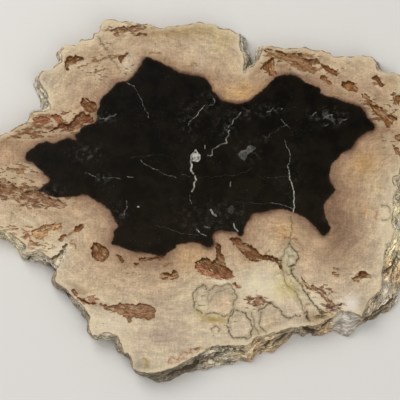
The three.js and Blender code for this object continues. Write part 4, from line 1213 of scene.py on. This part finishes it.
# The black core with its hazes and veins. Its black has soaked a little way into the wood.
core_edge = polished.warped(polished.warped(polished.painted("core_gap"), 1.2, 2.2), 0.9, 0.8)
soaked_width = polished.add("ShaderNodeMapRange", {
    "Value": polished.grain(18), "From Min": 0.45, "From Max": 0.6,
    "To Min": SOAKED_LEAST, "To Max": SOAKED_MOST})
soaked = polished.add("ShaderNodeMapRange", {
    "Value": core_edge, "From Min": soaked_width, "From Max": 0.0})
wood = polished.laid(wood, CORE_MARGIN, soaked, 0.85)
umber = polished.product(polished.mottle(9, detail=3), 0.4)
umber = polished.sum(umber, polished.product(polished.painted("core_umber"), 0.6))
black = polished.laid(shade(CORE_BLACK), CORE_UMBER, umber)
smoke = polished.product(
    polished.painted("core_haze"), polished.mottle(3, 0.46, 0.72, 4), polished.mottle(1, 0.2, 0.8))
black = polished.laid(black, CORE_GREY, smoke)
black = polished.laid(black, CORE_MARGIN, polished.fade(core_edge, -2.0, -0.3), 0.12)
speck = polished.mottle(1.1, 0.6, 0.8, 3)
black = polished.laid(black, VEIN_GREY, speck, 0.05, polished.mottle(20, 0.45, 0.6))
vein = polished.fade(polished.warped(polished.painted("vein_gap"), 0.8, 1.0), 0.05, -0.25)
broken = polished.sum(polished.product(polished.mottle(4, 0.38, 0.55), 0.55), 0.45)
vein = polished.product(vein, polished.painted("vein_light"), polished.mottle(1.6, 0.25, 0.6, 4), broken)
black = polished.laid(black, VEIN_GREY, vein)
face = polished.laid(wood, black, polished.fade(core_edge, 0.4, -0.2))

# Borings: a faint halo of rust, a stained floor streaked along the tunnel, painted shadow along the
# upper left wall, and painted shade in patches just inside the mouth.
mouth_edge = polished.warped(polished.warped(polished.painted("boring_gap"), 0.8, 2.2), 0.5, 0.8)
boring_stain = polished.painted("boring_stain", "Color")
halo = polished.product(polished.fade(mouth_edge, 0.9, 0), polished.mottle(3, 0.35, 0.6), 0.45)
face = polished.laid(face, boring_stain, halo)
streaks = polished.add("ShaderNodeCombineXYZ", {
    "X": polished.product(polished.painted("along_boring"), STREAK_STRETCH * MM),
    "Y": polished.product(polished.painted("across_boring"), MM),
})
boring_floor = polished.shaded(boring_stain, polished.mottle(1.1, 0.3, 0.7, 3, streaks), 0.66, 1.3)
boring_floor = polished.shaded(boring_floor, polished.mottle(5), 0.85, 1.18)
sound_wood = polished.mottle(4, 0.5, 0.64, 3, streaks)
boring_floor = polished.laid(boring_floor, SOUND_TAN, sound_wood, 0.4)
fold = polished.seam(polished.grain(2.4, 3, streaks), 0.5, 0.05)
boring_floor = polished.laid(boring_floor, FOLD_AND_SHADOW_BROWN, fold, 0.75)
# Painted shadow along the upper left wall, and painted shade in patches just inside the mouth.
wall_shadow = polished.fade(polished.warped(polished.painted("boring_shadow_gap"), 0.9, 1.4), -0.6, 0.4)
wall_shadow = polished.product(wall_shadow, 0.85)
mouth_shade = polished.product(polished.fade(mouth_edge, -0.8, -0.1), 0.4, polished.mottle(3.2, 0.48, 0.6))
boring_floor = polished.laid(boring_floor, FOLD_AND_SHADOW_BROWN, polished.larger(wall_shadow, mouth_shade))
# Lacework of sound wood is left standing in some of them.
lace = polished.product(polished.painted("boring_stain", "Alpha"), 0.2)
lace = polished.sum(lace, polished.grain(1.5, 3, streaks))
in_boring = polished.fade(mouth_edge, 0.15, -0.15)
face = polished.laid(face, boring_floor, in_boring, polished.fade(lace, 0.68, 0.64))

roughness = polished.add("ShaderNodeMapRange", {
    "Value": in_boring, "To Min": POLISHED_ROUGHNESS, "To Max": FLOOR_ROUGHNESS})
polished.surface(face, roughness, POLISHED_SHINE)
pitted = polished.product(in_boring, polished.grain(0.8, 4, streaks))
polished.bump(polished.sum(pitted, polished.product(patch, -0.4)), 0.6)

# The bark side.
# Matt rock in thin layers, never polished, with painted shade in its hollows, pits, chinks and cracks, a
# painted highlight on its ridges, and pure white quartz where a vein reached the bark.
# Brown of the painted shade in the rim's pits, chinks and cracks.
HOLLOW_SHADE_BROWN = (76, 58, 38)
QUARTZ_SHADOW = (142, 136, 126)

rugged = Finish("natural bark side")
rock = rugged.painted("rim_rock", "Color")
layered = rugged.stretched(0.4, 0.4, 2.2)
# Each pattern: its size, what it runs along, its darkest and its palest tone. The last one is a tinge.
for size, place, darkest, palest in (
    (3.5, None, 0.86, 1.12),
    (2.4, layered, 0.82, 1.16),
    (1.0, None, 0.8, 1.18),
    (5.0, None, (1.04, 1.0, 0.94), (0.97, 1.0, 1.03)),
):
    rock = rugged.shaded(rock, rugged.mottle(size, detail=3, place=place), darkest, palest)
rock = rugged.laid(rock, BARK_BROWN, rugged.mottle(6, 0.58, 0.66, 3), 0.4)
# Painted shade in small pits.
pit_shade = rugged.mottle(1.4, 0.42, 0.34)
rock = rugged.laid(rock, HOLLOW_SHADE_BROWN, pit_shade, rugged.mottle(7, 0.4, 0.6), 0.65)
# Painted shade in the chinks between the layers and in the cracks of the list above, which the bump also
# sinks.
wide_chink = rugged.seam(rugged.grain(3.0, 4, layered), 0.5, 0.05)
wide_chink = rugged.product(wide_chink, rugged.mottle(3.5, 0.36, 0.5))
fine_chink = rugged.product(rugged.seam(rugged.grain(2.2, 2, layered), 0.5, 0.05), 0.35)
crack = rugged.fade(rugged.warped(rugged.painted("crack_gap"), 0.8, 1.2), 0.3, -0.3)
chink = rugged.larger(wide_chink, fine_chink, crack)
rock = rugged.laid(rock, HOLLOW_SHADE_BROWN, chink, 0.85)
# Painted shade in the hollows and painted highlight on the ridges, by how far the rock stands in or out.
rock = rugged.shaded(rock, rugged.fade(rugged.painted("rim_relief"), -0.9, 0.6), 0.62, 1.26)

quartz = rugged.shaded(rugged.painted("rim_rock", "Color"), rugged.mottle(2), 0.9, 1.06)
wavy = rugged.stretched(0.2, 0.3, 1.0)
quartz_line = rugged.seam(rugged.grain(1.5, 2, wavy), 0.5, 0.09)
quartz = rugged.laid(quartz, QUARTZ_SHADOW, quartz_line, 0.8)
rock = rugged.laid(rock, quartz, rugged.fade(rugged.painted("rim_quartz"), 0.4, 0.6))
rugged.surface(rock, roughness=0.9, shine=0.2)
rugged.bump(rugged.sum(rugged.grain(0.9, 4), rugged.product(chink, -0.8)), 0.6)

# The back.
# It was sawn and never polished, so the same pattern shows pale and dusty, with the saw's arcs. The slab
# lies on it.
SAWN_CORE = (62, 60, 56)
STONE_DUST = (216, 208, 194)
DUST_SHARE = 0.3
SAW_CENTRE = (0.35, -0.6, 0)   # metres
SAW_STEP = 2.1   # mm from one arc to the next
SAW_MARK_DEPTH = 0.12   # mm

sawn = Finish("sawn back")
dusty = sawn.shaded(sawn.painted("wood_colour", "Color"), sawn.mottle(6, 0.3, 0.7, 4), 0.9, 1.1)
dusty = sawn.laid(dusty, STONE_DUST, DUST_SHARE)
in_core = sawn.fade(sawn.warped(sawn.painted("core_gap"), 1.4, 2.5), 0.8, -0.8)
back = sawn.laid(dusty, SAWN_CORE, in_core)
from_saw = sawn.vector("SUBTRACT", sawn.place, SAW_CENTRE)
wave = {"Vector": from_saw, "Scale": 1 / (SAW_STEP * MM * 2 * math.pi), "Distortion": 0.6, "Detail": 1.0}
arcs = sawn.add("ShaderNodeTexWave", wave, "Fac", wave_type="RINGS", rings_direction="Z")
back = sawn.shaded(back, arcs, 0.93, 1.05)
back = sawn.shaded(back, sawn.mottle(0.9, 0.3, 0.7, 3), 0.9, 1.1)
sawn.surface(back, roughness=0.8)
sawn.bump(arcs, SAW_MARK_DEPTH)

for finish in (polished, rugged, sawn):
    mesh.materials.append(finish.material)

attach(slab, "root")
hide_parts("petrified_wood_slice")

# The floor.
# A plain pale sheet of matt paper that the slab lies on. It lies a hair below the back, so that the two
# don't share a plane.
FLOOR_SIDE = 6.0   # metres
FLOOR_DROP = 0.0002   # metres
FLOOR_PALE = (214, 212, 208)

bpy.ops.mesh.primitive_plane_add(size=FLOOR_SIDE, location=(0, 0, low.z - FLOOR_DROP))
floor_sheet = bpy.context.object
floor_sheet.name = "floor"
paper = Finish("pale floor")
paper.surface(shade(FLOOR_PALE), roughness=0.8)
floor_sheet.data.materials.append(paper.material)

# The light.
# A large soft lamp at the upper left, a weaker one towards the lower right, and a pale grey room.

# Each lamp: its name, its place in metres, its side in metres and its power in watts.
LAMPS = [
    ("key lamp", (-0.5, 0.5, 0.95), 0.8, 8.5),
    ("fill lamp", (0.55, -0.65, 0.95), 1.2, 6.0),
]
ROOM_GREY = (0.8, 0.78, 0.75, 1)
ROOM_STRENGTH = 0.52

for name, place, side, power in LAMPS:
    lamp = bpy.data.lights.new(name, "AREA")
    lamp.shape = "SQUARE"
    lamp.size = side
    lamp.energy = power
    stand = bpy.data.objects.new(name, lamp)
    stand.location = place
    stand.rotation_euler = (-Vector(place)).to_track_quat("-Z", "Y").to_euler()
    bpy.context.scene.collection.objects.link(stand)

room = bpy.data.worlds.new("pale grey room")
room.use_nodes = True
room.node_tree.nodes["Background"].inputs["Color"].default_value = ROOM_GREY
room.node_tree.nodes["Background"].inputs["Strength"].default_value = ROOM_STRENGTH
bpy.context.scene.world = room
bpy.context.scene.view_settings.view_transform = "Standard"

# The camera.
# It looks down at the face from the side of the lower edge, far off, so that the outlines stay true.
CAMERA_DISTANCE = 4.0   # metres
SENSOR_WIDTH = 36   # mm
FRAME_COLUMNS = 400
FRAME_MIDDLE = (200, 200)

lens = bpy.data.cameras.new("camera")
lens.sensor_width = SENSOR_WIDTH
lens.lens = SENSOR_WIDTH * CAMERA_DISTANCE / (FRAME_COLUMNS * MM_PER_COLUMN * MM)
camera = bpy.data.objects.new("camera", lens)
target = Vector((*seen_at([FRAME_MIDDLE], THICKNESS)[0], THICKNESS)) * MM
away_from_target = Vector((0, -math.sin(VIEW_TILT), math.cos(VIEW_TILT)))
camera.location = target + away_from_target * CAMERA_DISTANCE
camera.rotation_euler = (VIEW_TILT, 0, 0)
bpy.context.scene.collection.objects.link(camera)
bpy.context.scene.camera = camera
